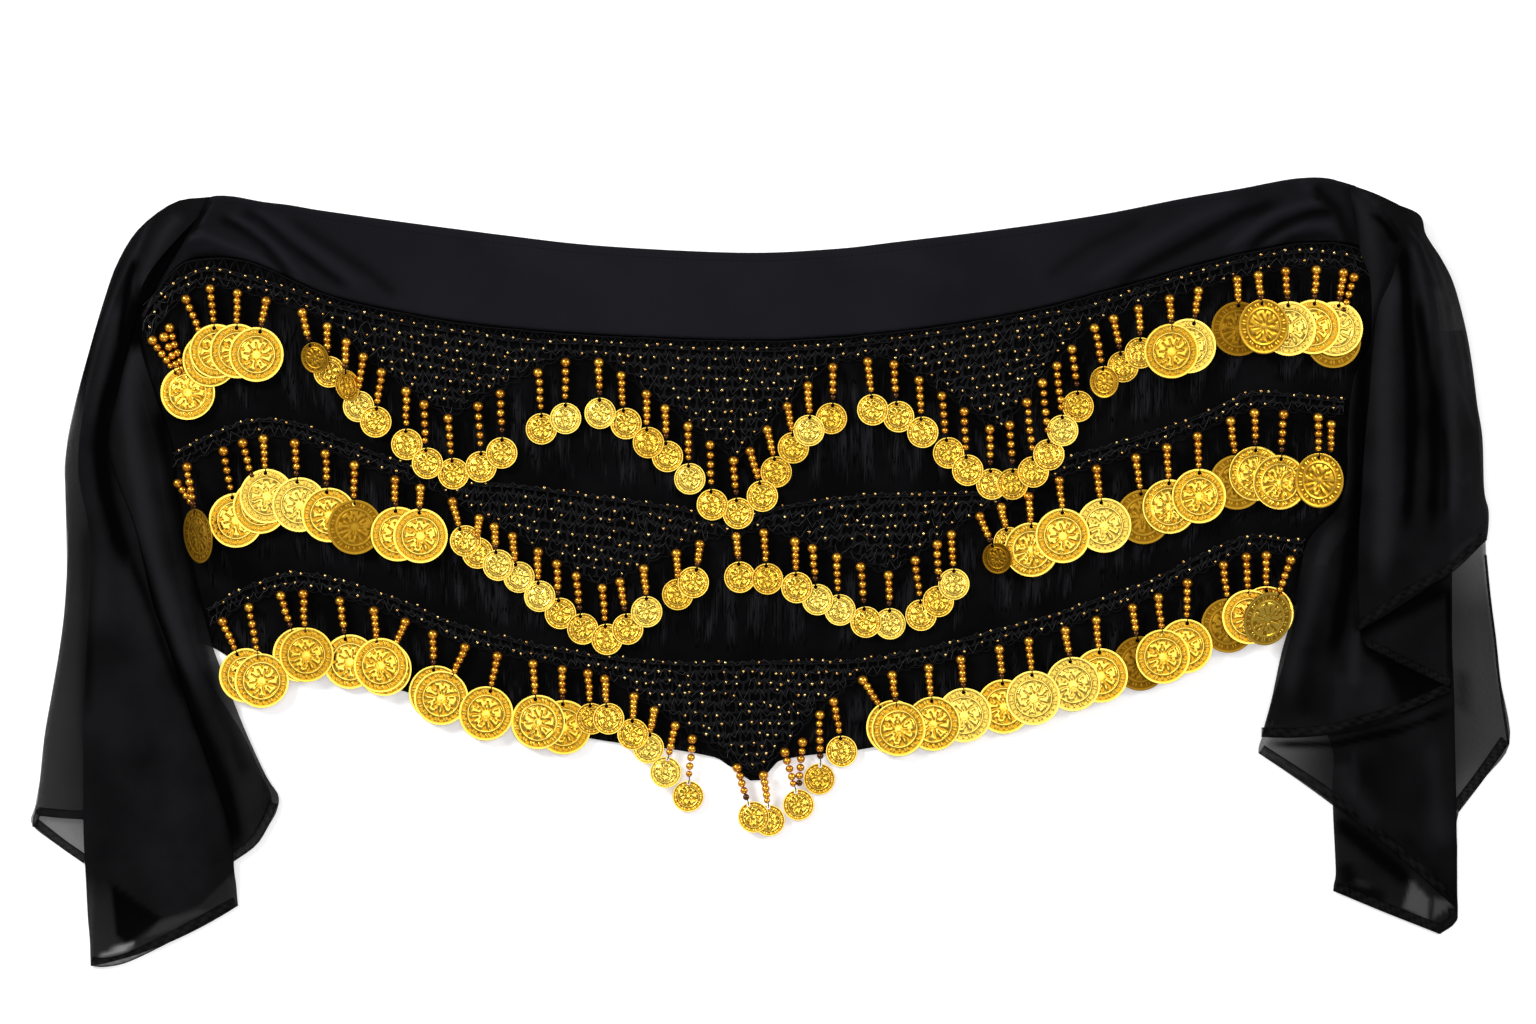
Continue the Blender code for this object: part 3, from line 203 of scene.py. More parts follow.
# %% The laid layers of the ties: the level of each, and its sections from the top down
# A section has its outer and its inner end, and the level and the bow where these change.
SECTION_COLUMNS = ("outer_x", "outer_y", "inner_x", "inner_y", "level", "bow")
TIES = {
    "left_tie_back": (0, (
        (-389, 147.5, -374.5, 142.5), (-395, 129, -373, 129), (-408.5, 71, -357, 73),
        (-409, 42, -353.5, 44.5), (-408.5, -6, -342.5, -10.5), (-412.5, -45, -333.5, -46.5),
        (-416.5, -68.5, -321.5, -69.5), (-421, -94, -306, -94.5), (-423.5, -117.5, -295, -118.5),
        (-426.5, -135, -289.5, -131), (-428.5, -146.5, -293, -141), (-413.5, -158.5, -302, -154.5),
        (-398.5, -169, -313, -164),
    )),
    "left_tie_side": (1, (
        (-325.5, 217.5, -360.5, 158), (-345.5, 214.5, -364.5, 156), (-366, 199.5, -366, 152.5),
        (-378.5, 180, -366.3, 146), (-386.5, 158, -366, 134.5), (-395, 129, -362.5, 120),
        (-403.5, 97, -355, 97.5), (-408.5, 71, -347.5, 73), (-409, 42, -344.5, 44.5),
        (-407.5, 15.5, -338.5, 15.5), (-408.5, -6, -332.5, -10.5), (-410, -26.5, -327, -30.5),
        (-412.5, -45, -323, -45), (-416.5, -68.5, -314, -68.5), (-421, -94, -303.5, -94.5),
        (-423.5, -117.5, -292.5, -118.5), (-425, -132, -285.5, -129.5), (-425, -141, -286.5, -138.5),
        (-398.5, -143.5, -290.5, -146), (-395, -158.5, -298.5, -158.5), (-389, -166, -313, -169),
    )),
    "left_tie_front": (2, (
        (-325.5, 217, -332.6, 205), (-347.5, 212.5, -346, 191), (-365, 199, -358, 176.5),
        (-377, 178.5, -365.5, 162.5), (-384.5, 158, -369, 146), (-394, 127.5, -373.5, 127.5),
        (-398, 97, -381.5, 97), (-401, 73.5, -385.5, 76.5), (-401, 53.5, -381, 58),
        (-396, 30, -370, 30), (-394, 7, -364, 7), (-395, -19, -358, -19), (-396.5, -45, -349.5, -42.5),
        (-398.5, -84, -336, -84), (-398.5, -110, -326.5, -110), (-398.5, -141, -316.5, -139),
        (-398, -161, -312, -158.5), (-397, -178, -311, -173), (-396, -200, -310, -181, 1, 2),
        (-395, -213, -309.5, -188, 0.3, 3), (-394.5, -228.6, -309, -193.5, 0, 5),
    )),
    "right_tie_back": (0, (
        (401.5, 140.5, 357, 137.5), (409, 97, 344.5, 100), (411, 71, 343.5, 76.5), (413, 48, 343, 53.5),
        (415.5, 32, 340, 33.5), (414.5, 13, 325, 10), (417.5, -16, 314, -18),
        (420.5, -39.5, 308, -41.5), (423, -62.5, 303, -62.5), (428.5, -98.5, 324.5, -98.5),
        (414, -119.5, 325.5, -123.5), (399, -139, 326, -141), (398, -161, 327, -161),
        (398, -184.5, 327.5, -175), (397.5, -202, 326.5, -181), (388, -210, 326, -185),
    )),
    "right_tie_lower": (1, (
        (394, 7, 312.5, 4), (394.5, -22, 304.5, -23), (395, -46, 298.5, -48), (396, -69, 291.5, -71.5),
        (396.5, -97.5, 286, -91.5), (397.5, -144, 283, -100.5, 1, -2),
        (397.5, -195.5, 282.5, -105, 1, -4),
    )),
    "right_tie_middle": (2, (
        (334.5, 225, 341.8, 184), (355.5, 217, 346.5, 172.5), (370.5, 206.5, 347.5, 163.5),
        (379.5, 180, 348, 156), (385, 158, 348, 143.5), (388, 134.5, 347.2, 131.5),
        (390, 115, 340.6, 119), (391, 105.5, 337, 108.5), (392.5, 82.5, 334.2, 82.5),
        (394, 56.5, 333.6, 56.5), (394, 36, 327.8, 37), (394.5, 15.5, 311.5, 18.5),
        (394.5, -4.5, 305.5, -4.5), (394.5, -28, 301, -28), (394.5, -48, 295.5, -48),
        (394.5, -60, 290, -74, 2, 4), (394.5, -69, 284, -95.5, 2, 9),
    )),
    "right_tie_flap": (3, (
        (394.5, 0, 343, -29), (394.5, -33.5, 341.5, -36), (394.5, -67.5, 345.5, -43.5),
    )),
    "right_tie_front": (4, (
        (360, 214, 352.5, 211.5), (375.5, 207, 363, 199), (379.5, 195, 365.5, 190),
        (388.5, 181, 362.5, 180), (395.5, 166.5, 359, 169), (402, 142.5, 351.5, 152),
        (406, 120.5, 348.5, 129), (409, 97, 346.5, 102.5), (412, 77.5, 344, 76.5), (413, 48, 342, 47.5),
        (415.5, 36, 340.5, 24.5), (415.5, 26.5, 340, -4.5, 4, 2), (414.5, 18.5, 341, -33.5, 4, 3),
    )),
}

# %% [markdown]
# ## From tables to curves
# A table gives a few rows; between them the cloth has to run on smoothly. A cubic through the
# rows, with each row's slope taken from its neighbours, does that, and it works on a whole array
# of places at once, so thousands of points of cloth cost no more to write than one.

# %% A smooth curve through the rows of a table
def records(columns, rows):
    """The rows of a table as dicts by column name, each with its place in the table."""
    return [{"place": i, **dict(zip(columns, row))} for i, row in enumerate(rows)]


def along(rows, key, value, at):
    """The value column at places in the key column, on a smooth curve through the rows."""
    keys = np.array([row[key] for row in rows], dtype=float)
    values = np.array([row[value] for row in rows], dtype=float)
    last = len(rows) - 1
    low, high = np.maximum(np.arange(last + 1) - 1, 0), np.minimum(np.arange(last + 1) + 1, last)
    slopes = (values[high] - values[low]) / (keys[high] - keys[low])
    at = np.clip(at, keys[0], keys[-1])
    k = np.clip(np.searchsorted(keys, at) - 1, 0, last - 1)
    step = keys[k + 1] - keys[k]
    t = (at - keys[k]) / step
    bend = slopes[k] * (1 - t) - slopes[k + 1] * t
    from_start, to_end = values[k] * (1 + 2 * t) * (1 - t) ** 2, values[k + 1] * t * t * (3 - 2 * t)
    return from_start + to_end + step * t * (1 - t) * bend


def smoothstep(t):
    """0 to 1 with level ends, as t goes from 0 to 1."""
    t = np.clip(t, 0.0, 1.0)
    return t * t * (3 - 2 * t)


def fading(t, speed, start=0.0):
    """1 in the middle, falling to 0 at t = 0 and at t = 1."""
    return smoothstep(speed * t + start) * smoothstep(speed * (1 - t) + start)


BODY_ROWS = records(BODY_COLUMNS, BODY)
SIDE_ROWS = records(SIDE_COLUMNS, SIDES)
TRIANGLE_ROWS = records(TRIANGLE_COLUMNS, TRIANGLES)
print("hem at the middle:", float(along(BODY_ROWS, "x", "hem", 0.0)), "mm")


# %% The edges of the nets and the sides of the body
def edge(name, x):
    """The height on the body of the seam, a net's upper edge or the hem."""
    return along(BODY_ROWS, "x", name, x)


def net_low(net, x):
    """A net's lower edge: its plain strip, and its triangles."""
    x = np.asarray(x, dtype=float)
    depth = np.full(x.shape, STRIP_DEPTH)
    for row in TRIANGLE_ROWS:
        if row["net"] != net:
            continue
        rise = np.where(
            x < row["apex"],
            np.clip((x - row["left"]) / (row["apex"] - row["left"]), 0, 1) ** row["left_bend"],
            np.clip((row["right"] - x) / (row["right"] - row["apex"]), 0, 1) ** row["right_bend"],
        )
        depth = depth + row["depth"] * np.minimum(rise, BLUNT)
    return edge(net, x) - depth


def side(which, y, beyond):
    """A side of the body, moved out under the tie by beyond."""
    return along(SIDE_ROWS, "y", which, y) + (-beyond if which == "left" else beyond)


def across(share, curve, beyond):
    """The points at a share of the body's width where columns between its sides meet a curve."""
    y = np.zeros(np.shape(share))
    for _ in range(12):
        left, right = side("left", y, beyond), side("right", y, beyond)
        x = left + share * (right - left)
        y = y + 0.7 * (curve(x) - y)
    return x, curve(x)


for net in NETS:
    print(net, "is", float(edge(net, -19.0) - net_low(net, -19.0)), "mm deep near its middle")

# %% [markdown]
# ## Helpers for modelling
# A Blender operator acts on whatever is selected, so each step starts with nothing selected. The
# pieces here are born as primitives, bent to their place point by point, and finished with
# modifiers that are applied. What repeats, such as a coin, is modelled once; its copies are put
# in their places and joined.

# %% Selection, modifiers and edit mode
def nothing_selected():
    """Object mode, with nothing selected or active."""
    if bpy.context.object and bpy.context.object.mode != "OBJECT":
        bpy.ops.object.mode_set(mode="OBJECT")
    bpy.ops.object.select_all(action="DESELECT")
    bpy.context.view_layer.objects.active = None


def only(piece):
    """Selects one piece alone, and makes it active."""
    nothing_selected()
    piece.select_set(True)
    bpy.context.view_layer.objects.active = piece


def apply_modifier(piece, kind, **settings):
    """Adds one modifier to a piece and applies it."""
    only(piece)
    modifier = piece.modifiers.new(kind.title(), kind)
    for key, value in settings.items():
        setattr(modifier, key, value)
    bpy.ops.object.modifier_apply(modifier=modifier.name)


def named(piece, name):
    """Names a piece and its mesh."""
    piece.name = piece.data.name = name
    return piece


def select_parts(piece, kind, wanted):
    """In edit mode: selects the faces or edges for which wanted(part) is true, and no other."""
    bpy.ops.object.mode_set(mode="EDIT")
    bpy.ops.mesh.select_mode(type=kind)
    bpy.ops.mesh.select_all(action="DESELECT")
    bpy.ops.object.mode_set(mode="OBJECT")
    for part in piece.data.polygons if kind == "FACE" else piece.data.edges:
        part.select = bool(wanted(part))
    bpy.ops.object.mode_set(mode="EDIT")


def read_points(piece):
    """The piece's points as an array of rows, in millimetres."""
    flat = np.empty(3 * len(piece.data.vertices))
    piece.data.vertices.foreach_get("co", flat)
    return flat.reshape(-1, 3) / MM


def write_points(piece, points):
    """Moves the piece's points to these, in millimetres."""
    piece.data.vertices.foreach_set("co", (np.asarray(points) * MM).ravel())
    piece.data.update()


def triangles_of(piece):
    """How many triangles a piece has."""
    return sum(len(polygon.vertices) - 2 for polygon in piece.data.polygons)


# %% A sheet of cloth from a grid primitive
def cloth(name, columns, rows, place, wall=0.3, kept=None):
    """A grid, its points moved to place(u, v) with u across and v down, and made a thin shell.
    Its UV map runs over the laid cloth in centimetres, so that a weave can follow it; kept(u, v)
    gives further numbers for its material."""
    nothing_selected()
    bpy.ops.mesh.primitive_grid_add(x_subdivisions=columns, y_subdivisions=rows, size=2)
    piece = named(bpy.context.object, name)
    grid = read_points(piece) * MM
    u, v = (1 + grid[:, 0]) / 2, (1 - grid[:, 1]) / 2
    points = np.stack(np.broadcast_arrays(*place(u, v)), axis=1)
    write_points(piece, points)
    set_uv(piece, points[:, :2] / 10)
    keep(piece, **(kept(u, v) if kept else {"shade": 0.5}))
    if wall:
        apply_modifier(piece, "SOLIDIFY", thickness=wall * MM, offset=-1.0)
    faces_outwards(piece)
    piece.data.shade_smooth()
    return piece


def set_uv(piece, spots):
    """Gives every point of a piece its place in the UV map."""
    corners = np.empty(len(piece.data.loops), dtype=int)
    piece.data.loops.foreach_get("vertex_index", corners)
    layer = piece.data.uv_layers.active or piece.data.uv_layers.new(name="UVMap")
    layer.uv.foreach_set("vector", np.asarray(spots)[corners].ravel())


def keep(piece, **values):
    """Keeps a number for every point of a piece, for its material to read."""
    for key, numbers in values.items():
        layer = piece.data.attributes.new(key, "FLOAT", "POINT")
        numbers = np.broadcast_to(numbers, len(piece.data.vertices))
        layer.data.foreach_set("value", numbers.astype(float))


def faces_outwards(piece):
    """Turns every face of a piece outwards."""
    only(piece)
    bpy.ops.object.mode_set(mode="EDIT")
    bpy.ops.mesh.select_all(action="SELECT")
    bpy.ops.mesh.normals_make_consistent(inside=False)
    bpy.ops.object.mode_set(mode="OBJECT")


# %% Copies of one model, joined into one piece
def joined(name, pieces):
    """Several meshes as one piece."""
    nothing_selected()
    for piece in pieces:
        piece.select_set(True)
    bpy.context.view_layer.objects.active = pieces[0]
    bpy.ops.object.join()
    return named(bpy.context.object, name)


def copies(name, model, places, tones=None):
    """Copies of a finished model at each place, joined into one piece. Each copy may have its own
    tone, kept on its points for the material to read."""
    made = []
    for i, place in enumerate(places):
        copy = model.copy()
        copy.data = model.data.copy()
        copy.data.transform(place)
        if tones:
            keep(copy, tone=tones[i])
        bpy.context.collection.objects.link(copy)
        made.append(copy)
    return joined(name, made)


def ball(name, segments, rings, radius=1.0, stretch=(1, 1, 1)):
    """A small round model, to be copied."""
    nothing_selected()
    bpy.ops.mesh.primitive_uv_sphere_add(segments=segments, ring_count=rings, radius=radius)
    model = named(bpy.context.object, name)
    model.data.transform(Matrix.Diagonal((*stretch, 1)))
    model.data.shade_smooth()
    return model


def placed(middle, size=1.0, turn=Matrix.Identity(3)):
    """The matrix that puts a model at a point in millimetres, at a size, and turned."""
    return Matrix.Translation(Vector(middle) * MM) @ (turn * size).to_4x4()


# %% Yarn and thread
def yarns(name, paths, radius, sides=1, smooth=3):
    """Round yarn along every path of (x, y, z) points in millimetres, as one mesh."""
    data = bpy.data.curves.new(name, "CURVE")
    data.dimensions, data.use_fill_caps = "3D", True
    data.bevel_depth, data.bevel_resolution, data.resolution_u = radius * MM, sides, smooth
    for path in paths:
        spline = data.splines.new("BEZIER")
        spline.bezier_points.add(len(path) - 1)
        for knot, point in zip(spline.bezier_points, path):
            knot.co = Vector([float(value) for value in point]) * MM
            knot.handle_left_type = knot.handle_right_type = "AUTO"
    piece = bpy.data.objects.new(name, data)
    bpy.context.collection.objects.link(piece)
    only(piece)
    bpy.ops.object.convert(target="MESH")
    piece = named(bpy.context.object, name)
    faces_outwards(piece)
    piece.data.shade_smooth()
    return piece

# %% [markdown]
# ## Materials as sums
# A material is easier to read as arithmetic than as a picture of boxes and wires. `Wire` stands
# for one number that varies over a surface, and each of its operators adds the Math node that
# works it out. `Finish` holds one material, and its `node` adds any other kind of node.

# %% Shader arithmetic
class Wire:
    """A number, colour or vector that varies over a surface. Operators add Math nodes."""

    def __init__(self, finish, socket):
        self.finish, self.socket = finish, socket

    def math(self, operation, *values):
        numbered = dict(enumerate(values))
        return self.finish.node("ShaderNodeMath", {"operation": operation}, numbered)

    def __add__(self, other):
        return self.math("ADD", self, other)

    def __sub__(self, other):
        return self.math("SUBTRACT", self, other)

    def __rsub__(self, other):
        return self.math("SUBTRACT", other, self)

    def __mul__(self, other):
        return self.math("MULTIPLY", self, other)

    __radd__, __rmul__ = __add__, __mul__

    def ramp(self, low, high):
        """0 below low and 1 above high, with soft ends."""
        settings = {"interpolation_type": "SMOOTHSTEP"}
        return self.finish.node("ShaderNodeMapRange", settings, {0: self, 1: low, 2: high})


# %% A material
class Finish:
    """One material. Numbers that are the same all over are set on the shader itself."""

    def __init__(self, name, fixed):
        self.material = bpy.data.materials.new(name)
        self.material.use_nodes = True
        self.tree = self.material.node_tree
        self.shader = self.tree.nodes["Principled BSDF"]
        for label, value in fixed.items():
            self.shader.inputs[label].default_value = value

    def node(self, kind, settings=None, values=None, output=0):
        """Adds a node: its settings first, then the values or links of its sockets."""
        node = self.tree.nodes.new(kind)
        for key, value in (settings or {}).items():
            setattr(node, key, value)
        for key, value in (values or {}).items():
            self.feed(node.inputs[key], value)
        return Wire(self, node.outputs[output])

    def feed(self, socket, value):
        """Links a socket to a wire, or gives it a fixed value."""
        if isinstance(value, Wire):
            self.tree.links.new(value.socket, socket)
        else:
            socket.default_value = value

    def paint(self, label, value):
        """Feeds one input of the shader."""
        self.feed(self.shader.inputs[label], value)

    def here(self):
        """The place on the object, in metres."""
        return self.node("ShaderNodeTexCoord", output="Object")

    def weave(self, place, scale, distortion=0.0):
        """Threads one way, and threads across them."""
        values = {"Vector": place, "Scale": scale, "Distortion": distortion}
        return [self.node("ShaderNodeTexWave", {"bands_direction": way}, values) for way in "XY"]

    def stretched(self, vector, scale):
        """A vector stretched along its axes, for a pattern that is longer one way."""
        return self.node("ShaderNodeMapping", None, {"Vector": vector, "Scale": scale})

    def noise(self, vector, scale, detail=2.0, roughness=0.5):
        values = {"Vector": vector, "Scale": scale, "Detail": detail, "Roughness": roughness}
        return self.node("ShaderNodeTexNoise", None, values)

    def kept(self, name):
        """A number that was kept on the points of the mesh."""
        return self.node("ShaderNodeAttribute", {"attribute_name": name}, output="Fac")

    def mixed(self, share, first, second, blend="MIX"):
        """A colour between two, by a share from 0 to 1."""
        settings = {"data_type": "RGBA", "blend_type": blend}
        return self.node("ShaderNodeMix", settings, {0: share, 6: first, 7: second}, output=2)

    def bump(self, height, strength, distance):
        values = {"Height": height, "Strength": strength, "Distance": distance * MM}
        self.paint("Normal", self.node("ShaderNodeBump", None, values))


def rgb(red, green, blue):
    return (red, green, blue, 1.0)


# %% [markdown]
# ## The finishes
# Black cloth is told apart by how it throws light back, not by its colour. The waistband is a
# close satin weave with a violet cast, the chiffon is dull and lets light through, and the
# crochet yarn is a round shiny thread. A weave is two sets of waves across each other; here they
# run on the UV map, which lies on the cloth. The folds of the cloth carry painted shade in their
# valleys and painted light on their ridges. The gold of the coins has painted shade where the
# stamped relief is deep and painted highlights where it is raised, and each coin has its own tone,
# some painted dark as if turned from the light and some painted pale as if catching it.

# %% Satin
def waistband_finish():
    """Satin with a violet cast, with painted shade in its valleys and painted light on its crests."""
    finish = Finish("waistband_satin", {
        "Roughness": 0.5, "Specular IOR Level": 0.03, "Sheen Weight": 0.008, "Sheen Roughness": 0.4,
    })
    thread, pick = finish.weave(finish.node("ShaderNodeTexCoord", output="UV"), 9.0)
    cloudy = finish.noise(finish.here(), 22.0, 3.0)
    depth = finish.kept("shade") + (cloudy - 0.5) * 0.6
    # painted light and shade: the kept shade mixes from the valley colour to the crest colour
    valley, crest = rgb(0.0003, 0.0003, 0.0004), rgb(0.0094, 0.0089, 0.0115)
    finish.paint("Base Color", finish.mixed(depth.ramp(-0.1, 1.1), valley, crest))
    finish.bump(thread + pick * 0.6 + cloudy * 1.5, 0.25, 0.05)
    return finish.material


# %% Chiffon and yarn
def chiffon_finish(name, tint, valley, pleats=False):
    """Dull crepe chiffon, with painted shade in the valleys between its folds, down to a share of its
    tint, and painted light on its ridges. The gathered panel has pleats, fine upright lines where it
    is drawn up, painted lighter, with thin lines of painted shade between them; other chiffon lets
    light through, as its cover says."""
    finish = Finish(name, {"Roughness": 0.75, "Specular IOR Level": 0.012})
    place = finish.node("ShaderNodeTexCoord", output="UV")
    thread, pick = finish.weave(place, 12.0, 1.0)
    cloudy = finish.noise(finish.here(), 30.0, 3.0)
    depth = finish.kept("shade") + (cloudy - 0.5) * 0.5
    lines = 0.0
    if pleats:
        drawn = finish.noise(finish.stretched(place, (1.0, 0.07, 1.0)), 6.5, 1.5)
        # painted shade in thin dark lines, and painted light on the drawn-up lines
        thin = drawn.ramp(0.44, 0.49) * (1.0 - drawn.ramp(0.49, 0.54))
        lines = drawn.ramp(0.58, 0.72) * finish.kept("pleats")
        depth = depth + lines * 0.42 - thin * finish.kept("pleats") * 0.8
    else:
        slub = finish.noise(finish.stretched(place, (1.0, 6.0, 1.0)), 5.0, 2.0)
        finish.paint("Alpha", (slub - 0.5) * 0.12 + finish.kept("cover"))
    dark = rgb(*(valley * channel for channel in tint))
    finish.paint("Base Color", finish.mixed(depth.ramp(0.0, 1.0), dark, rgb(*tint)))
    finish.bump(thread + pick + cloudy * 2.0 + lines * 6.0, 0.3, 0.06)
    return finish.material


def yarn_finish(name, shine):
    """Black yarn with fine fibres."""
    finish = Finish(name, {"Specular IOR Level": shine})
    place = finish.here()
    fibre = finish.noise(finish.stretched(place, (1.0, 2.2, 1.0)), 1500.0, 3.0, 0.6)
    deep, raised = rgb(0.0010, 0.0010, 0.0013), rgb(0.0074, 0.0073, 0.0088)
    finish.paint("Base Color", finish.mixed(fibre.ramp(0.35, 0.7), deep, raised))
    finish.paint("Roughness", fibre * 0.3 + 0.35)
    finish.bump(fibre, 0.6, 0.25)
    return finish.material


# %% Gold
GOLD_DEEP = rgb(0.42, 0.17, 0.005)
GOLD = rgb(1.0, 0.56, 0.036)
GOLD_PALE = rgb(1.0, 0.74, 0.14)


def coin_finish():
    """Gold with painted shade in the hollows and painted highlights on the raised relief; coins painted
    dark, as if turned from the light, are also rougher.
    """
    finish = Finish("stamped_gold", {"Metallic": 1.0})
    relief, tone = finish.kept("relief"), finish.kept("tone")
    press = finish.noise(finish.here(), 900.0, 3.0, 0.6)
    dents = finish.noise(finish.here(), 130.0, 2.0)
    # painted shade: the gold deepens where the relief is low
    gold_toned_and_shaded = finish.mixed(relief.ramp(0.0, 0.5), GOLD_DEEP, GOLD)
    # painted highlight: the raised relief turns pale gold
    painted_highlight = (relief * 0.7 + press * 0.3 + tone * 0.25).ramp(0.60, 1.10) * tone.ramp(0.0, 0.5)
    gold_toned_and_shaded = finish.mixed(painted_highlight, gold_toned_and_shaded, GOLD_PALE)
    # painted reflection: the pale coins lean to the pale gold, as if catching the light
    gold_toned_and_shaded = finish.mixed(tone.ramp(0.85, 1.0) * 0.5, gold_toned_and_shaded, GOLD_PALE)
    # painted shade: the dark coins are darkened, as if turned from the light
    dark = finish.mixed(tone.ramp(0.0, 0.6), rgb(0.16, 0.12, 0.07), rgb(1.0, 1.0, 1.0))
    finish.paint("Base Color", finish.mixed(1.0, gold_toned_and_shaded, dark, "MULTIPLY"))
    # the coins painted dark are also rougher
    dark_coin_share = 1 - tone.ramp(0.25, 0.5)
    finish.paint("Roughness", 0.24 + dark_coin_share * 0.26 - relief * 0.08 + press * 0.05)
    finish.bump(press * 0.2 + dents, 0.26, 0.75)
    return finish.material


def bead_finish(name, deep, bright, roughness):
    """Lacquered gold, whose tone runs from brown through deep to bright; on the strands' beads the tone
    also carries painted shade round their sides.
    """
    finish = Finish(name, {"Metallic": 0.85, "Coat Weight": 0.2, "Coat Roughness": 0.08})
    tone, cloudy = finish.kept("tone"), finish.noise(finish.here(), 700.0, 2.0)
    gold_toned_and_shaded = finish.mixed(tone.ramp(0.4, 1.1), deep, bright)
    finish.paint("Base Color", finish.mixed(tone.ramp(0.0, 0.5), rgb(0.085, 0.030, 0.004), gold_toned_and_shaded))
    finish.paint("Roughness", cloudy * 0.15 + roughness)
    finish.bump(cloudy, 0.2, 0.1)
    return finish.material


# %% Every finish
FINISHES = {
    "waistband_satin": waistband_finish(),
    "chiffon_panel": chiffon_finish("chiffon_panel", (0.0120, 0.0117, 0.0134), 0.10, pleats=True),
    "chiffon_sheer": chiffon_finish("chiffon_sheer", (0.0125, 0.0123, 0.0138), 0.03),
    "chiffon_hem": chiffon_finish("chiffon_hem", (0.0160, 0.0158, 0.0172), 0.03),
    "crochet_yarn": yarn_finish("crochet_yarn", 0.06),
    "shiny_yarn": yarn_finish("shiny_yarn", 0.55),
    "stamped_gold": coin_finish(),
    "gold_bead": bead_finish("gold_bead", rgb(0.50, 0.17, 0.006), rgb(1.0, 0.52, 0.045), 0.20),
    "seed_bead": bead_finish("seed_bead", rgb(0.62, 0.30, 0.05), rgb(1.0, 0.74, 0.30), 0.14),
}
print("finishes:", ", ".join(FINISHES))


# %% Finishing a piece: its material, its body and the solids it hides
def finished(piece, finish, slot, *nodes):
    """Gives a piece its material, sets it on the scarf, and hides the solids that it stands for."""
    piece.data.materials.clear()
    piece.data.materials.append(FINISHES[finish])
    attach(piece, "root")
    if nodes:
        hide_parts(*nodes)
    print(piece.name, triangles_of(piece), "triangles")
    return piece


def laid(piece, cut, with_pieces=()):
    """Prints the area of a laid sheet's cut beside the area that its cloth measures."""
    width, length, area = cut
    cloth_area = sum(polygon.area for polygon in piece.data.polygons) / 2
    print(piece.name, "is cut", area, "m2, and its cloth measures", round(cloth_area, 4), "m2")
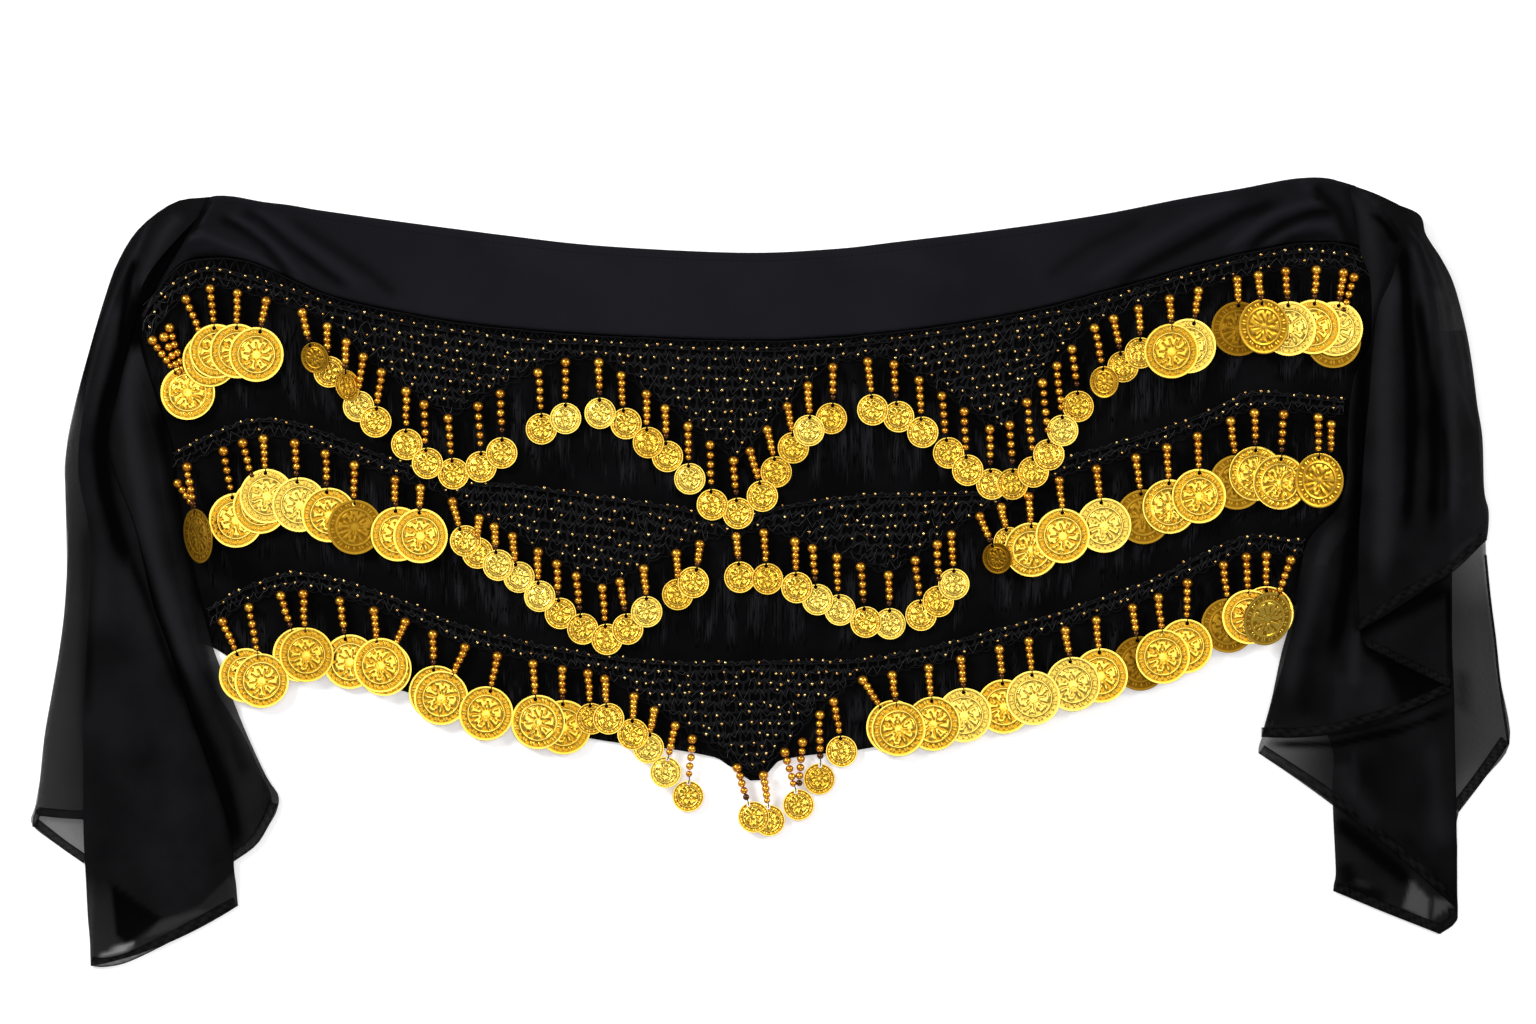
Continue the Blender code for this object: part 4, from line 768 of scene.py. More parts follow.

# %% [markdown]
# ## The waistband
# The waistband is cut on a slight curve, folded double and topstitched just under its fold. It
# is smooth across the back and creases mostly where the ties pull at its ends. A grid bent
# between its upper edge and the seam gives it, with each crease as a soft ridge along a line;
# a cloth simulation would crease it too, but not where the real one does.

# %% Creases of each cloth: width, rise and way. A rise below 0 is a valley of painted shade
# A rise above 0 is a ridge, also painted lighter; a rise below 0 is only a dark line of painted shade on
# the ties, and on the waistband it also presses the cloth down a little.
CREASES = {
    "waistband": (
        (3.4, -1, ((-333.5, 212.3), (-339.3, 203), (-345.1, 192.6), (-350.9, 179.8))),
        (2.6, -0.8, ((-327.7, 212.3), (-332.3, 204.2), (-337, 194.9))),
        (3.2, 1.5, ((-339.3, 192.6), (-328.3, 194.9), (-312.6, 188.5), (-295.2, 179.8), (-279, 169.4))),
        (2.2, -0.9, ((-340.5, 176.3), (-333.5, 182.7), (-323.1, 183.9), (-308, 179.8),
         (-291.7, 172.3))),
        (2.8, -0.8, ((-323.1, 206.5), (-309.1, 199.5), (-295.2, 189.7), (-283.6, 176.3),
         (-277.8, 167))),
        (3, 1.2, ((-316.1, 207.6), (-301, 199.5), (-287.1, 187.9), (-274.3, 172.8), (-269.7, 163.6))),
        (2.8, -0.75, ((-309.1, 211.1), (-295.2, 203), (-279, 189.1), (-260.4, 175.2), (-243, 162.4))),
        (4.5, 0.9, ((-301, 211.1), (-279, 197.2), (-255.8, 179.8), (-231.4, 160.1))),
        (3.6, -0.5, ((-281.9, 207.1), (-255.8, 189.1), (-231.4, 172.8), (-215.2, 157.8))),
        (3, 0.8, ((-324.2, 216.9), (-327.7, 208.8), (-331.2, 199.5))),
        (9, 0.5, ((-174.6, 192.6), (-122.4, 179.8), (-76, 157.8))),
        (8, 0.4, ((34.2, 186.8), (74.8, 179.8), (121.2, 163.6))),
        (2.6, -1, ((274.3, 184.4), (284.8, 193.7), (297.5, 201.8), (312.6, 207.6), (334.7, 209.4))),
        (3.2, 1.5, ((261.6, 183.3), (275.5, 194.9), (290.6, 206.5), (306.8, 212.3), (324.2, 214))),
        (3.6, -0.9, ((195.5, 162.4), (219.8, 178.6), (246.5, 192.6), (272, 206.5), (301, 216.9))),
        (4.2, 1, ((179.2, 163.6), (208.2, 183.3), (243, 203), (277.8, 216.9))),
        (3, 1.1, ((284.8, 186.8), (296.4, 194.9), (310.3, 200.7), (330, 200.7))),
        (2.4, -0.7, ((289.4, 183.3), (302.2, 192.6), (317.3, 194.9), (332.3, 192.6))),
        (3.8, -1, ((313.8, 225), (319.6, 216.9), (328.9, 208.8), (334.7, 194.9), (337, 179.8))),
        (3, 0.8, ((306.8, 227.4), (311.5, 221.6), (317.3, 212.3))),
        (4, -0.4, ((156, 169.4), (185, 189.1), (219.8, 205.3))),
    ),
    "left_tie_front": (
        (1.5, 1.1, ((-357.9, 208.8), (-364.2, 192.6), (-368.3, 179.8), (-369.5, 167), (-367.1, 152))),
        (1.6, 1.1, ((-362.5, 196), (-370.6, 181), (-378.7, 163.6), (-384.5, 146.2), (-390.3, 128.8),
         (-395.6, 107.9), (-398.5, 88.2))),
        (4, 1.5, ((-340.5, 208.8), (-350.9, 194.9), (-360.2, 177.5), (-364.8, 162.4))),
        (4.6, 1.4, ((-378.7, 157.8), (-382.2, 134.6), (-387.4, 111.4), (-392.1, 82.4))),
        (2.4, -0.8, ((-367.1, 184.4), (-372.4, 167), (-375.3, 146.2), (-377.6, 128.8))),
        (2, -0.6, ((-372.9, 193.7), (-383.4, 169.4), (-391.5, 140.4))),
        (4.8, -1, ((-364.8, 171.7), (-369.5, 147.3), (-377.6, 121.8), (-385.7, 96.9), (-389.2, 71.9),
         (-385.7, 46.4), (-377.6, 18.6), (-368.3, -4.6))),
        (3, -0.6, ((-377.6, 24.4), (-369.5, 3.5), (-361.3, -16.2), (-351.5, -45.2), (-339.3, -74.2),
         (-327.1, -103.2), (-316.7, -132.2), (-312.6, -149.6), (-311.5, -168.2))),
        (5, 0.6, ((-393.8, 76.6), (-390.3, 41.8), (-386.9, 7), (-385.7, -39.4))),
        (9, 0.5, ((-378.7, 18.6), (-364.8, -39.4), (-348.6, -97.4), (-337, -167))),
        (3, -0.35, ((-396.1, 7), (-395, -39.4), (-396.1, -85.8))),
    ),
    "left_tie_side": (
        (6, -1, ((-328.9, 208.8), (-340.5, 196), (-350.9, 179.8), (-359, 162.4), (-364.8, 142.7),
         (-372.9, 123))),
        (4.2, -1, ((-369.5, 147.3), (-377.6, 121.8), (-385.7, 96.9), (-388, 71.9), (-383.4, 46.4),
         (-375.3, 18.6), (-366, -4.6))),
        (4.6, -0.95, ((-375.3, 24.4), (-367.1, 3.5), (-359.6, -16.2), (-349.7, -45.2), (-337.6, -74.2),
         (-325.4, -103.2), (-314.9, -132.2), (-310.9, -149.6), (-309.7, -168.2))),
        (5.2, 2.6, ((-362.5, 140.4), (-370, 117.2), (-371.8, 94), (-368.3, 65), (-361.3, 30.2),
         (-352.1, -7.5), (-340.5, -45.2), (-328.9, -80))),
        (3.6, -0.75, ((-355.5, 99.8), (-350.9, 70.8), (-343.9, 36), (-334.7, 1.2), (-327.7, -27.8))),
        (3.4, 1.2, ((-345.1, 59.2), (-337, 24.4), (-327.7, -10.4), (-318.4, -45.2), (-308, -85.8),
         (-298.7, -114.8))),
        (4, -0.4, ((-327.7, -51), (-316.1, -85.8), (-303.3, -120.6))),
        (1.8, 0.8, ((-316.1, -120.6), (-310.3, -138), (-308, -155.4))),
    ),
    "left_tie_back": (
        (2.2, 0.8, ((-403.1, 41.8), (-405.4, -16.2), (-408.9, -74.2), (-413.5, -132.2))),
        (3, -0.35, ((-397.3, 30.2), (-397.3, -27.8), (-398.5, -109))),
    ),
    "right_tie_front": (
        (6, 2.2, ((363.7, 179.8), (357.3, 152), (355, 117.2), (355.5, 70.8), (355.5, 24.4),
         (352.1, -16.2))),
        (3.4, -1, ((365.4, 194.9), (367.1, 169.4), (370, 128.8), (371.2, 88.2), (370, 53.4),
         (367.1, 18.6))),
        (2.4, 1.4, ((369.5, 194.9), (375.3, 175.2), (379.9, 152), (382.2, 123), (381.1, 88.2))),
        (3.6, -0.75, ((372.9, 163.6), (378.7, 134.6), (383.4, 99.8), (384.5, 59.2), (382.2, 18.6))),
        (1.3, 1, ((367.1, 201.8), (376.4, 190.2), (384.5, 170.5), (390.3, 148.5), (392.7, 128.8))),
        (1.4, 0.9, ((374.1, 200.7), (385.7, 179.8), (395, 152), (400.8, 123), (405.4, 94))),
        (3.6, 1.4, ((388, 146.2), (393.8, 111.4), (396.1, 70.8), (395, 24.4))),
        (1.2, 0.9, ((395, 116), (401.9, 99.8), (408.9, 81.2))),
        (1.2, 0.8, ((391.5, 59.2), (400.8, 51), (406.6, 55.7))),
        (1.2, 0.9, ((392.7, 5.8), (400.8, 15.1), (410.1, 20.9))),
        (2.6, -0.4, ((388, 88.2), (391.5, 59.2), (390.3, 30.2))),
    ),
    "right_tie_middle": (
        (5, 1.2, ((337, 222.7), (345.1, 201.8), (349.7, 182.1), (349.7, 162.4), (346.3, 140.4))),
        (1.4, 0.9, ((338.1, 225), (350.9, 212.3), (361.3, 197.2))),
        (3, -0.9, ((334.1, 218.1), (336.4, 197.2), (338.1, 175.2), (342.8, 154.3))),
        (2.2, -0.8, ((347.4, 208.8), (356.7, 200.7), (362.5, 190.2))),
        (4, -1, ((345.1, 140.4), (342.8, 116), (341.6, 88.2), (340.5, 53.4), (337.6, 24.4),
         (333.5, -4.6), (328.9, -31.3), (323.1, -56.8))),
        (2.4, 1.2, ((339.3, 121.8), (334.1, 109), (332.3, 88.2), (332.3, 59.2), (331.2, 36))),
        (5, 1.5, ((326.5, 30.2), (319.6, 9.3), (313.8, -16.2), (305.7, -45.2), (298.7, -80))),
        (3.6, 1.3, ((343.9, -22), (339.3, -39.4), (337, -68.4))),
        (7, -0.3, ((311.5, -39.4), (309.1, -62.6), (308, -85.8))),
        (2.8, -0.9, ((339.3, -39.4), (350.9, -48.7), (370.6, -59.2), (395, -70.8))),
        (5, -1, ((335.8, -32.5), (350.9, -27.8), (368.3, -19.7), (395, -7))),
    ),
    "right_tie_flap": (
        (5.4, -1, ((330, -36), (342.8, -32.5), (364.8, -21.5), (397.3, -5.8))),
        (1.5, -0.8, ((392.1, -4.6), (393.2, -39.4), (393.8, -74.2))),
    ),
    "right_tie_lower": (
        (1.8, -0.8, ((284.8, -99.8), (326.5, -99.8), (364.8, -91.6), (397.3, -78.9))),
        (6, 0.9, ((330, -109), (337, -126.4), (353.2, -149.6))),
        (5, 0.7, ((382.2, -97.4), (385.7, -132.2), (388, -161.2))),
        (5, -0.25, ((364.8, -149.6), (378.7, -167), (388, -178.6))),
        (1.4, 0.6, ((337, -100.9), (339.3, -118.3), (337, -132.2))),
        (9, -0.2, ((336.4, -114.8), (364.8, -126.4), (388, -130))),
    ),
    "right_tie_back": (
        (4, -0.3, ((401.4, -54.5), (400.8, -78.9))),
        (4.4, -1, ((325.4, -142.7), (341.6, -155.4), (360.2, -170.5), (371.8, -181))),
        (5, -0.6, ((332.3, -167), (337, -184.4), (359, -190.2))),
        (1.6, 0.7, ((408.9, -16.2), (411.2, -62.6), (414.7, -97.4))),
    ),
}


# %% How creases lift and darken a cloth
def beside(x, y, way):
    """How far each point is from the line through a way's points, and how far along, 0 to 1."""
    away, gone = np.full(np.shape(x), 1e9), np.zeros(np.shape(x))
    for i, (start, end) in enumerate(zip(way, way[1:])):
        run_x, run_y = end[0] - start[0], end[1] - start[1]
        share = ((x - start[0]) * run_x + (y - start[1]) * run_y) / (run_x**2 + run_y**2)
        share = np.clip(share, 0, 1)
        here = np.hypot(x - start[0] - share * run_x, y - start[1] - share * run_y)
        gone = np.where(here < away, (i + share) / (len(way) - 1), gone)
        away = np.minimum(away, here)
    return away, gone


def creased(cloth_name, x, y):
    """How far the creases raise a cloth at each point, and how much painted shade its valleys get there.
    """
    lift, dark = np.zeros(np.shape(x)), np.zeros(np.shape(x))
    for width, rise, way in CREASES.get(cloth_name, ()):
        away, gone = beside(x, y, way)
        near = fading(gone, 7) * np.exp(-((away / width) ** 2))
        lift = lift + max(rise, 0) * near
        dark = np.maximum(dark, -rise * near)
    return lift, dark


# %% The waistband
BAND_UNDER = 6.0  # how far its ends run on under the ties
BAND_ROWS = records(BAND_COLUMNS, BAND)


def on_waistband(u, v):
    """A point of the band, with u along it and v from its fold down to its seam."""
    at = u * (len(BAND_ROWS) - 1)
    top_x, top_y, seam_x = (along(BAND_ROWS, "place", key, at) for key in BAND_COLUMNS)
    seam_y = edge("seam", seam_x) + 0.3
    x, y = top_x + v * (seam_x - top_x), top_y + v * (seam_y - top_y)
    inside = smoothstep(8 * v + 0.15) * smoothstep(6 * (1 - v) + 0.1)
    free = fading(u, 60, -0.6)
    fold = 0.5 * np.exp(-((v / 0.03) ** 2))
    under = BAND_UNDER * (np.clip(1 - 100 * u, 0, 1) - np.clip(1 - 100 * (1 - u), 0, 1))
    lower = 0.35 * np.abs(under) * (1 - v)
    lift, dark = creased("waistband", x, y)
    height = free * (fold + inside * (lift - 0.8 * dark))
    return x - under, y - lower, BAND_WALL + height - 0.3 * smoothstep((v - 0.97) / 0.03)


def band_shade(u, v):
    """Painted light on ridges, along the fold and in the middle, and painted shade in the valleys."""
    lift, dark = creased("waistband", *on_waistband(u, v)[:2])
    fold, middle = np.exp(-((v / 0.05) ** 2)), np.exp(-(((u - 0.5) / 0.22) ** 2))
    return {"shade": (0.48 + 0.3 * lift + 0.3 * fold + 0.35 * middle) * (1 - dark) - 0.05 * dark}


waistband = cloth("waistband_cloth", 220, 34, on_waistband, wall=1.2, kept=band_shade)
finished(waistband, "waistband_satin", "waistband_cloth", "waistband")


# %% Topstitching under the waistband's fold
STITCH_LONG, STITCH_THICK, STITCH_PITCH = 2.0, 0.32, 2.9
STITCH_DOWN = 0.09  # how far down the band the row lies, as a share of its depth


def path_length(x, y):
    """How far along a path each of its points is."""
    return np.concatenate([[0], np.cumsum(np.hypot(np.diff(x), np.diff(y)))])


def stitch_row():
    """The place of each stitch under the fold, turned to the row's direction."""
    u = np.linspace(0, 1, 2000)
    x, y, z = on_waistband(u, np.full(u.shape, STITCH_DOWN))
    gone = path_length(x, y)
    marks = np.arange(STITCH_PITCH, gone[-1] - STITCH_PITCH, STITCH_PITCH)
    spots = [np.interp(marks, gone, line) for line in (x, y, z)]
    angles = np.interp(marks, gone, np.arctan2(np.gradient(y), np.gradient(x)))
    return [placed(spot, 1.0, Matrix.Rotation(angle, 3, "Z")) for spot, angle in zip(zip(*spots), angles)]


stitch = ball("stitch_model", 6, 4, STITCH_THICK / 2 * MM, (STITCH_LONG / STITCH_THICK, 1.4, 0.9))
topstitch = copies("waistband_topstitch", stitch, stitch_row())
bpy.data.objects.remove(stitch)
finished(topstitch, "crochet_yarn", "crochet")

# %% [markdown]
# ## The gathered panel
# The panel is a wide strip of chiffon, drawn up between the nets so that it falls in small
# upright gathers, while each net holds it flat. Each gather is a narrow ridge with its own
# place, width, height and length. The ridges fade out under the nets, so nothing pokes through
# them. A displacement texture would be quicker, but gathers run down the cloth and a noise
# doesn't.

# %% The gathers between the nets
SEAM_TURN = 2.6  # how far the panel runs on under the waistband
PANEL_LINES = [lambda x: edge("seam", x) + SEAM_TURN]  # then where each band of gathers starts and ends
for net, below in zip(NETS, (*NETS[1:], "hem")):
    hidden = 0.0 if below == "hem" else CALM - 0.5
    PANEL_LINES.append(lambda x, net=net: net_low(net, x) - CALM)
    PANEL_LINES.append(lambda x, below=below, hidden=hidden: edge(below, x) + hidden)
PANEL_STOPS = (0.0, 0.14, 0.36, 0.48, 0.74, 0.88, 1.0)  # how far down the grid each line lies


def random_gathers(count, seed):
    """Ridges for one band: place across, width, height and lean, and their middle and reach down it."""
    luck = np.random.default_rng(seed)
    return {
        "across": np.sort(luck.uniform(0.0, 1.0, count)),
        "width": luck.uniform(0.0010, 0.0034, count),
        "height": luck.choice((0.3, 0.5, 0.8, 1.3), count),
        "lean": luck.normal(0.0, 0.012, count),
        "middle": luck.uniform(0.25, 0.75, count),
        "reach": luck.uniform(0.25, 0.75, count),
    }


def gather_height(u, t, gathers):
    """The height of a band's gathers, where t runs from 0 at its upper edge to 1 at its lower."""
    height = np.zeros(u.shape)
    for place, width, rise, lean, middle, reach in zip(*gathers.values()):
        away = (u - place - lean * (t - 0.5)) / width
        near = np.abs(away) < 3
        fade = np.clip(1 - ((t[near] - middle) / reach) ** 2, 0, 1)
        height[near] += rise * fade * np.exp(-(away[near] ** 2))
    return 1.15 * np.tanh(height)


GATHERS = [random_gathers(count, seed) for seed, count in enumerate((170, 170, 110))]


def on_panel(u, v):
    """A point of the panel, with u across it and v from under the waistband down to its hem."""
    x, y, height = np.zeros(u.shape), np.zeros(u.shape), np.zeros(u.shape)
    for i, (start, end) in enumerate(zip(PANEL_STOPS, PANEL_STOPS[1:])):
        here = (v >= start) & (v <= end)
        t = (v[here] - start) / (end - start)
        upper, lower = PANEL_LINES[i], PANEL_LINES[i + 1]

        def curve(spot, t=t, upper=upper, lower=lower):
            return upper(spot) + t * (lower(spot) - upper(spot))

        x[here], y[here] = across(u[here], curve, UNDER_TIE)
        if i % 2:
            height[here] = fading(t, 5) * gather_height(u[here], t, GATHERS[i // 2])
    height *= fading(u, 20)
    hem = 0.5 * smoothstep((v - 0.965) / 0.01)
    turned = 0.8 * smoothstep((y - edge("seam", x) + 2.0) / 2.0)
    return x, y, WALL + height + hem - turned


def panel_shade(u, v):
    """Painted light where a gather rises, and how far the fine pleats are drawn there."""
    lift = on_panel(u, v)[2] - WALL
    return {"shade": 0.20 + 0.50 * lift, "pleats": smoothstep(lift / 0.15)}


panel = cloth("panel_chiffon", 330, 76, on_panel, kept=panel_shade)
finished(panel, "chiffon_panel", "chiffon", "body_panel")

# %% [markdown]
# ## The ties
# Each tie is one long rectangle of chiffon with a narrow rolled hem, folded down from the
# waistband's end and laid in overlapping layers. One layer alone shows the surface through it;
# two are dark grey, and three or more are black, so each layer has to be its own thin shell that
# lets light through. The folds fan out from where the tie is gathered at the top.

# %% A layer of a tie
def on_tie(layer):
    """The function that places a point of a tie's layer, with u from its outer to its inner edge."""
    usual, sections = TIES[layer]
    rows = records(SECTION_COLUMNS, [(*row, usual, 0)[:6] for row in sections])

    def place(u, v):
        at = v * (len(rows) - 1)
        outer_x, outer_y, inner_x, inner_y, level, bow = (
            along(rows, "place", key, at) for key in SECTION_COLUMNS
        )
        x = outer_x + u * (inner_x - outer_x)
        y = outer_y + u * (inner_y - outer_y) - bow * 4 * u * (1 - u)
        return x, y, np.maximum(level, 0) * LEVEL + WALL + creased(layer, x, y)[0]

    return place


# %% How much of the light one side of a layer stops
# Each row has a share of the way down, and the cover at the outer edge, the middle and the inner edge.
COVERS = {
    "left_tie_back": (
        (0, 0.9, 0.9, 0.9), (0.1, 0.7, 0.75, 0.8), (0.14, 0.45, 0.5, 0.7), (0.22, 0.46, 0.55, 0.6),
        (0.3, 0.54, 0.6, 0.6), (0.6, 0.48, 0.6, 0.6), (1, 0.42, 0.6, 0.58),
    ),
    "left_tie_side": (
        (0, 0.96, 0.96, 0.96), (0.27, 0.9, 0.95, 0.96), (0.31, 0.54, 0.8, 0.96),
        (0.37, 0.54, 0.8, 0.96), (0.45, 0.56, 0.9, 0.96), (0.72, 0.5, 0.88, 0.88),
        (0.82, 0.5, 0.84, 0.76), (0.9, 0.55, 0.84, 0.66), (1, 0.58, 0.8, 0.6),
    ),
    "left_tie_front": (
        (0, 0.97, 0.97, 0.97), (0.6, 0.94, 0.96, 0.96), (0.84, 0.95, 0.96, 0.95),
        (0.88, 0.84, 0.88, 0.84), (1, 0.8, 0.84, 0.8),
    ),
    "right_tie_back": (
        (0, 0.3, 0.6, 0.9), (0.12, 0.5, 0.6, 0.9), (0.3, 0.5, 0.8, 0.9), (0.42, 0.74, 0.8, 0.8),
        (0.6, 0.7, 0.78, 0.8), (0.7, 0.6, 0.85, 0.86), (0.78, 0.9, 0.92, 0.9), (1, 0.88, 0.9, 0.88),
    ),
    "right_tie_lower": (
        (0, 0.9, 0.92, 0.9), (0.55, 0.9, 0.9, 0.76), (0.7, 0.92, 0.92, 0.52), (0.86, 0.92, 0.92, 0.56),
        (1, 0.8, 0.86, 0.6),
    ),
    "right_tie_middle": (
        (0, 0.97, 0.97, 0.97), (0.6, 0.9, 0.95, 0.97), (0.85, 0.86, 0.94, 0.84), (1, 0.86, 0.94, 0.76),
    ),
    "right_tie_flap": ((0, 0.9, 0.9, 0.9), (1, 0.9, 0.9, 0.9)),
    "right_tie_front": (
        (0, 0.97, 0.97, 0.97), (0.3, 0.9, 0.97, 0.97), (0.55, 0.8, 0.96, 0.96),
        (0.85, 0.78, 0.95, 0.95), (1, 0.82, 0.93, 0.93),
    ),
}

# %% Places where the folded layers below show through a layer, and patches of painted light and painted shadow
# Each has how much of the light it stops, how much lighter it is painted (below 0, a painted shadow), and
# how soft its edge is.
PATCH_COLUMNS = ("layer", "cover", "lighter", "soft", "corners")
PATCHES = records(PATCH_COLUMNS, (
    ("left_tie_front", 0.96, 0, 1.6, ((-400.8, -155.4), (-397.3, -174), (-382.2, -181.5),
     (-353.2, -201.3), (-331.2, -193.1), (-308, -170.5), (-310.3, -143.8))),
    ("left_tie_front", 0.97, -0.3, 3.4, ((-382.2, -181), (-353.2, -200.7), (-372.9, -216.3),
     (-379.3, -210.5))),
    ("left_tie_front", 0.4, 0, 1.6, ((-390.9, -223.3), (-379.9, -222.1), (-367.7, -216.3),
     (-370.6, -213.4), (-383.4, -218.7))),
    ("left_tie_front", 0.78, 0.3, 1.8, ((-364.8, -213.4), (-354.4, -202.4), (-331.2, -195.5),
     (-326.5, -196.6), (-347.4, -206.5))),
    ("left_tie_side", 0.74, 0.15, 5, ((-327.7, -39.4), (-318.4, -39.4), (-295.2, -109),
     (-295.2, -132.2), (-308, -155.4), (-310.3, -126.4))),
    ("right_tie_front", 0.86, 0.08, 5, ((396.1, 157.8), (403.1, 157.8), (410.1, 123), (414.7, 82.4),
     (418.2, 15.7), (392.7, 5.8), (391.5, 53.4), (390.3, 88.2), (388.6, 123))),
    ("right_tie_front", 0.88, 0.15, 5, ((382.2, 163.6), (390.3, 163.6), (392.7, 131.7),
     (383.4, 131.7))),
    ("right_tie_middle", 0.98, -0.28, 7, ((355, -51), (395, -68.4), (395, -75.4), (367.1, -88.2),
     (363.1, -74.2))),
    ("right_tie_middle", 0.9, 0.16, 6, ((326.5, -58), (355.5, -58), (355.5, -81.2), (326.5, -83.5))),
    ("right_tie_back", 0.64, 0.2, 2.6, ((371.2, -178.1), (366, -194.9), (381.1, -202.4),
     (382.2, -189.1))),
    ("right_tie_back", 0.68, 0.2, 2.6, ((384.5, -189.1), (383.4, -201.8), (395.6, -193.7),
     (393.8, -187.9))),
    ("right_tie_back", 0.8, 0.2, 2, ((333.5, -181), (339.3, -178.1), (349.7, -181.5), (345.1, -183.9))),
))
LAYER_SHADE = {"left_tie_front": 0.44, "right_tie_flap": 0.42}  # how light a layer is, creases aside


def inside(x, y, corners, soft):
    """1 within the corners and 0 outside them, with an edge that is soft millimetres wide."""
    within = np.zeros(np.shape(x), dtype=bool)
    around = (*corners, corners[0])
    for (from_x, from_y), (to_x, to_y) in zip(around, around[1:]):
        spans = (from_y > y) != (to_y > y)
        within ^= spans & (x < from_x + (y - from_y) * (to_x - from_x) / ((to_y - from_y) or 1e-9))
    away = beside(x, y, around)[0]
    return smoothstep(0.5 + np.where(within, away, -away) / soft)


# %% The cover and shade of a layer
def tie_cover(layer, place):
    """The function that gives a layer's cover and painted shade at each point."""
    down, *sides = zip(*COVERS[layer])

    def kept(u, v):
        outer, middle, inner = (np.interp(v, down, covers) for covers in sides)
        x, y, z = place(u, v)
        lift, dark = creased(layer, x, y)
        toward_middle = smoothstep(1 - np.abs(2 * u - 1))
        cover = np.where(u < 0.5, outer, inner) * (1 - toward_middle) + middle * toward_middle
        # painted light on the ridges, and painted light or painted shadow in the patches
        shade = LAYER_SHADE.get(layer, 0.38) + 0.24 * lift
        for patch in PATCHES:
            if patch["layer"] == layer:
                share = inside(x, y, patch["corners"], patch["soft"])
                cover = cover + (patch["cover"] - cover) * share
                shade = shade + patch["lighter"] * share
        # painted shade in the valleys: darker, and stopping more of the light
        shade = shade * (1 - dark) - 0.05 * dark
        return {"cover": cover + (0.985 - cover) * dark, "shade": shade}

    return kept


# %% Every layer of the ties
TIE_GRIDS = {"right_tie_flap": (24, 24), "left_tie_front": (76, 120), "right_tie_front": (84, 96)}
TIE_LAYERS = {}
for layer in TIES:
    place, (columns, rows) = on_tie(layer), TIE_GRIDS.get(layer, (44, 68))
    TIE_LAYERS[layer] = cloth(f"{layer}_chiffon", columns, rows, place, kept=tie_cover(layer, place))
    finished(TIE_LAYERS[layer], "chiffon_sheer", "chiffon", layer)

# %% [markdown]
# ## The rolled hems
# A chiffon edge is rolled twice and stitched, so the hem is four layers deep, darker and a
# little raised. A narrow ribbon that follows the edge, just inside it, shows that better than a
# stripe in the material, because its own edge catches the light.

# %% The hems: which tie, the layer that each lies on, its width, and its way along the edge
HEM_COLUMNS = ("tie", "level", "width", "cover", "way")
HEMS = records(HEM_COLUMNS, (
    ("left", 0, 5.4, 0.55, ((-394.4, -228.3), (-386, -229), (-371, -225.5), (-341.5, -211),
     (-309.2, -193.4))),
    ("left", 0, 5, 0.72, ((-428.2, -146.8), (-413.5, -158.4), (-398.6, -168.8))),
    ("left", 0, 3.6, 0.5, ((-425.2, -137), (-427.6, -141.5), (-428.3, -147.6))),
    ("left", 1, 5, 0.6, ((-424.8, -141.2), (-412, -142.6), (-398.8, -143.4))),
    ("left", 1, 5.4, 0.6, ((-313.2, -168.8), (-298.6, -158.3), (-290.8, -146), (-285.8, -134.5))),
    ("right", 4, 5.4, 0.6, ((341.2, -33.8), (369, -14.5), (394, -0.5), (414.4, 18.6))),
    ("right", 3, 5, 0.6, ((345.7, -43.6), (370, -56), (392.2, -66.3))),
    ("right", 2, 5.4, 0.6, ((284.2, -95.4), (305, -95.5), (330, -92), (368, -80.5), (394.3, -69.2))),
    ("right", 1, 5.6, 0.58, ((282.8, -105), (325.5, -133.5), (371, -171), (393.4, -191.6))),
    ("right", 0, 5.6, 0.6, ((326.2, -185), (355, -197), (388, -210))),
    ("right", 0, 5, 0.6, ((387, -210), (397.4, -202.4), (397.7, -195))),
    ("right", 0, 6.2, 0.76, ((399.2, -138.8), (414, -119.4), (428.3, -99))),
    ("right", 0, 1.5, 0.88, ((428.3, -98.6), (423.1, -63), (420.6, -39.5), (417.6, -16), (415, 10))),
))


# %% A hem as a ribbon
def smooth_way(way, count):
    """Points evenly along a curve through a way's points, and the direction at each."""
    rows = records(("x", "y"), way)
    at = np.linspace(0, len(rows) - 1, 40 * len(rows))
    x, y = along(rows, "place", "x", at), along(rows, "place", "y", at)
    gone = path_length(x, y)
    even = np.linspace(0, gone[-1], count)
    x, y = np.interp(even, gone, x), np.interp(even, gone, y)
    return x, y, np.arctan2(np.gradient(y), np.gradient(x))


def hem_ribbon(name, hem):
    """A narrow doubled ribbon along the edge. It lies on the left of its way."""
    count = 41
    z = max(hem["level"], 0.25) * LEVEL + WALL + 0.42
    steps, lines = np.linspace(0, 1, count), smooth_way(hem["way"], count)

    def place(u, v):
        edge_x, edge_y, angle = (np.interp(v, steps, line) for line in lines)
        inward = u * hem["width"]
        pucker = 0.12 * np.sin(v * 70.0 + u * 2.0) + 0.25 * np.sin(math.pi * u)
        return edge_x - inward * np.sin(angle), edge_y + inward * np.cos(angle), z + pucker

    def kept(u, v):
        border = np.abs(2 * u - 1) ** 4
        streaks = 0.5 + 0.5 * np.sin(v * 31.0 + 6.0 * u) * np.sin(v * 83.0)
        cover = hem["cover"] + (0.95 - hem["cover"]) * border - 0.12 * streaks * (1 - border)
        return {"cover": cover, "shade": 0.18 + 0.5 * (1 - border) * streaks}

    return cloth(name, 8, 60, place, wall=0.5, kept=kept)


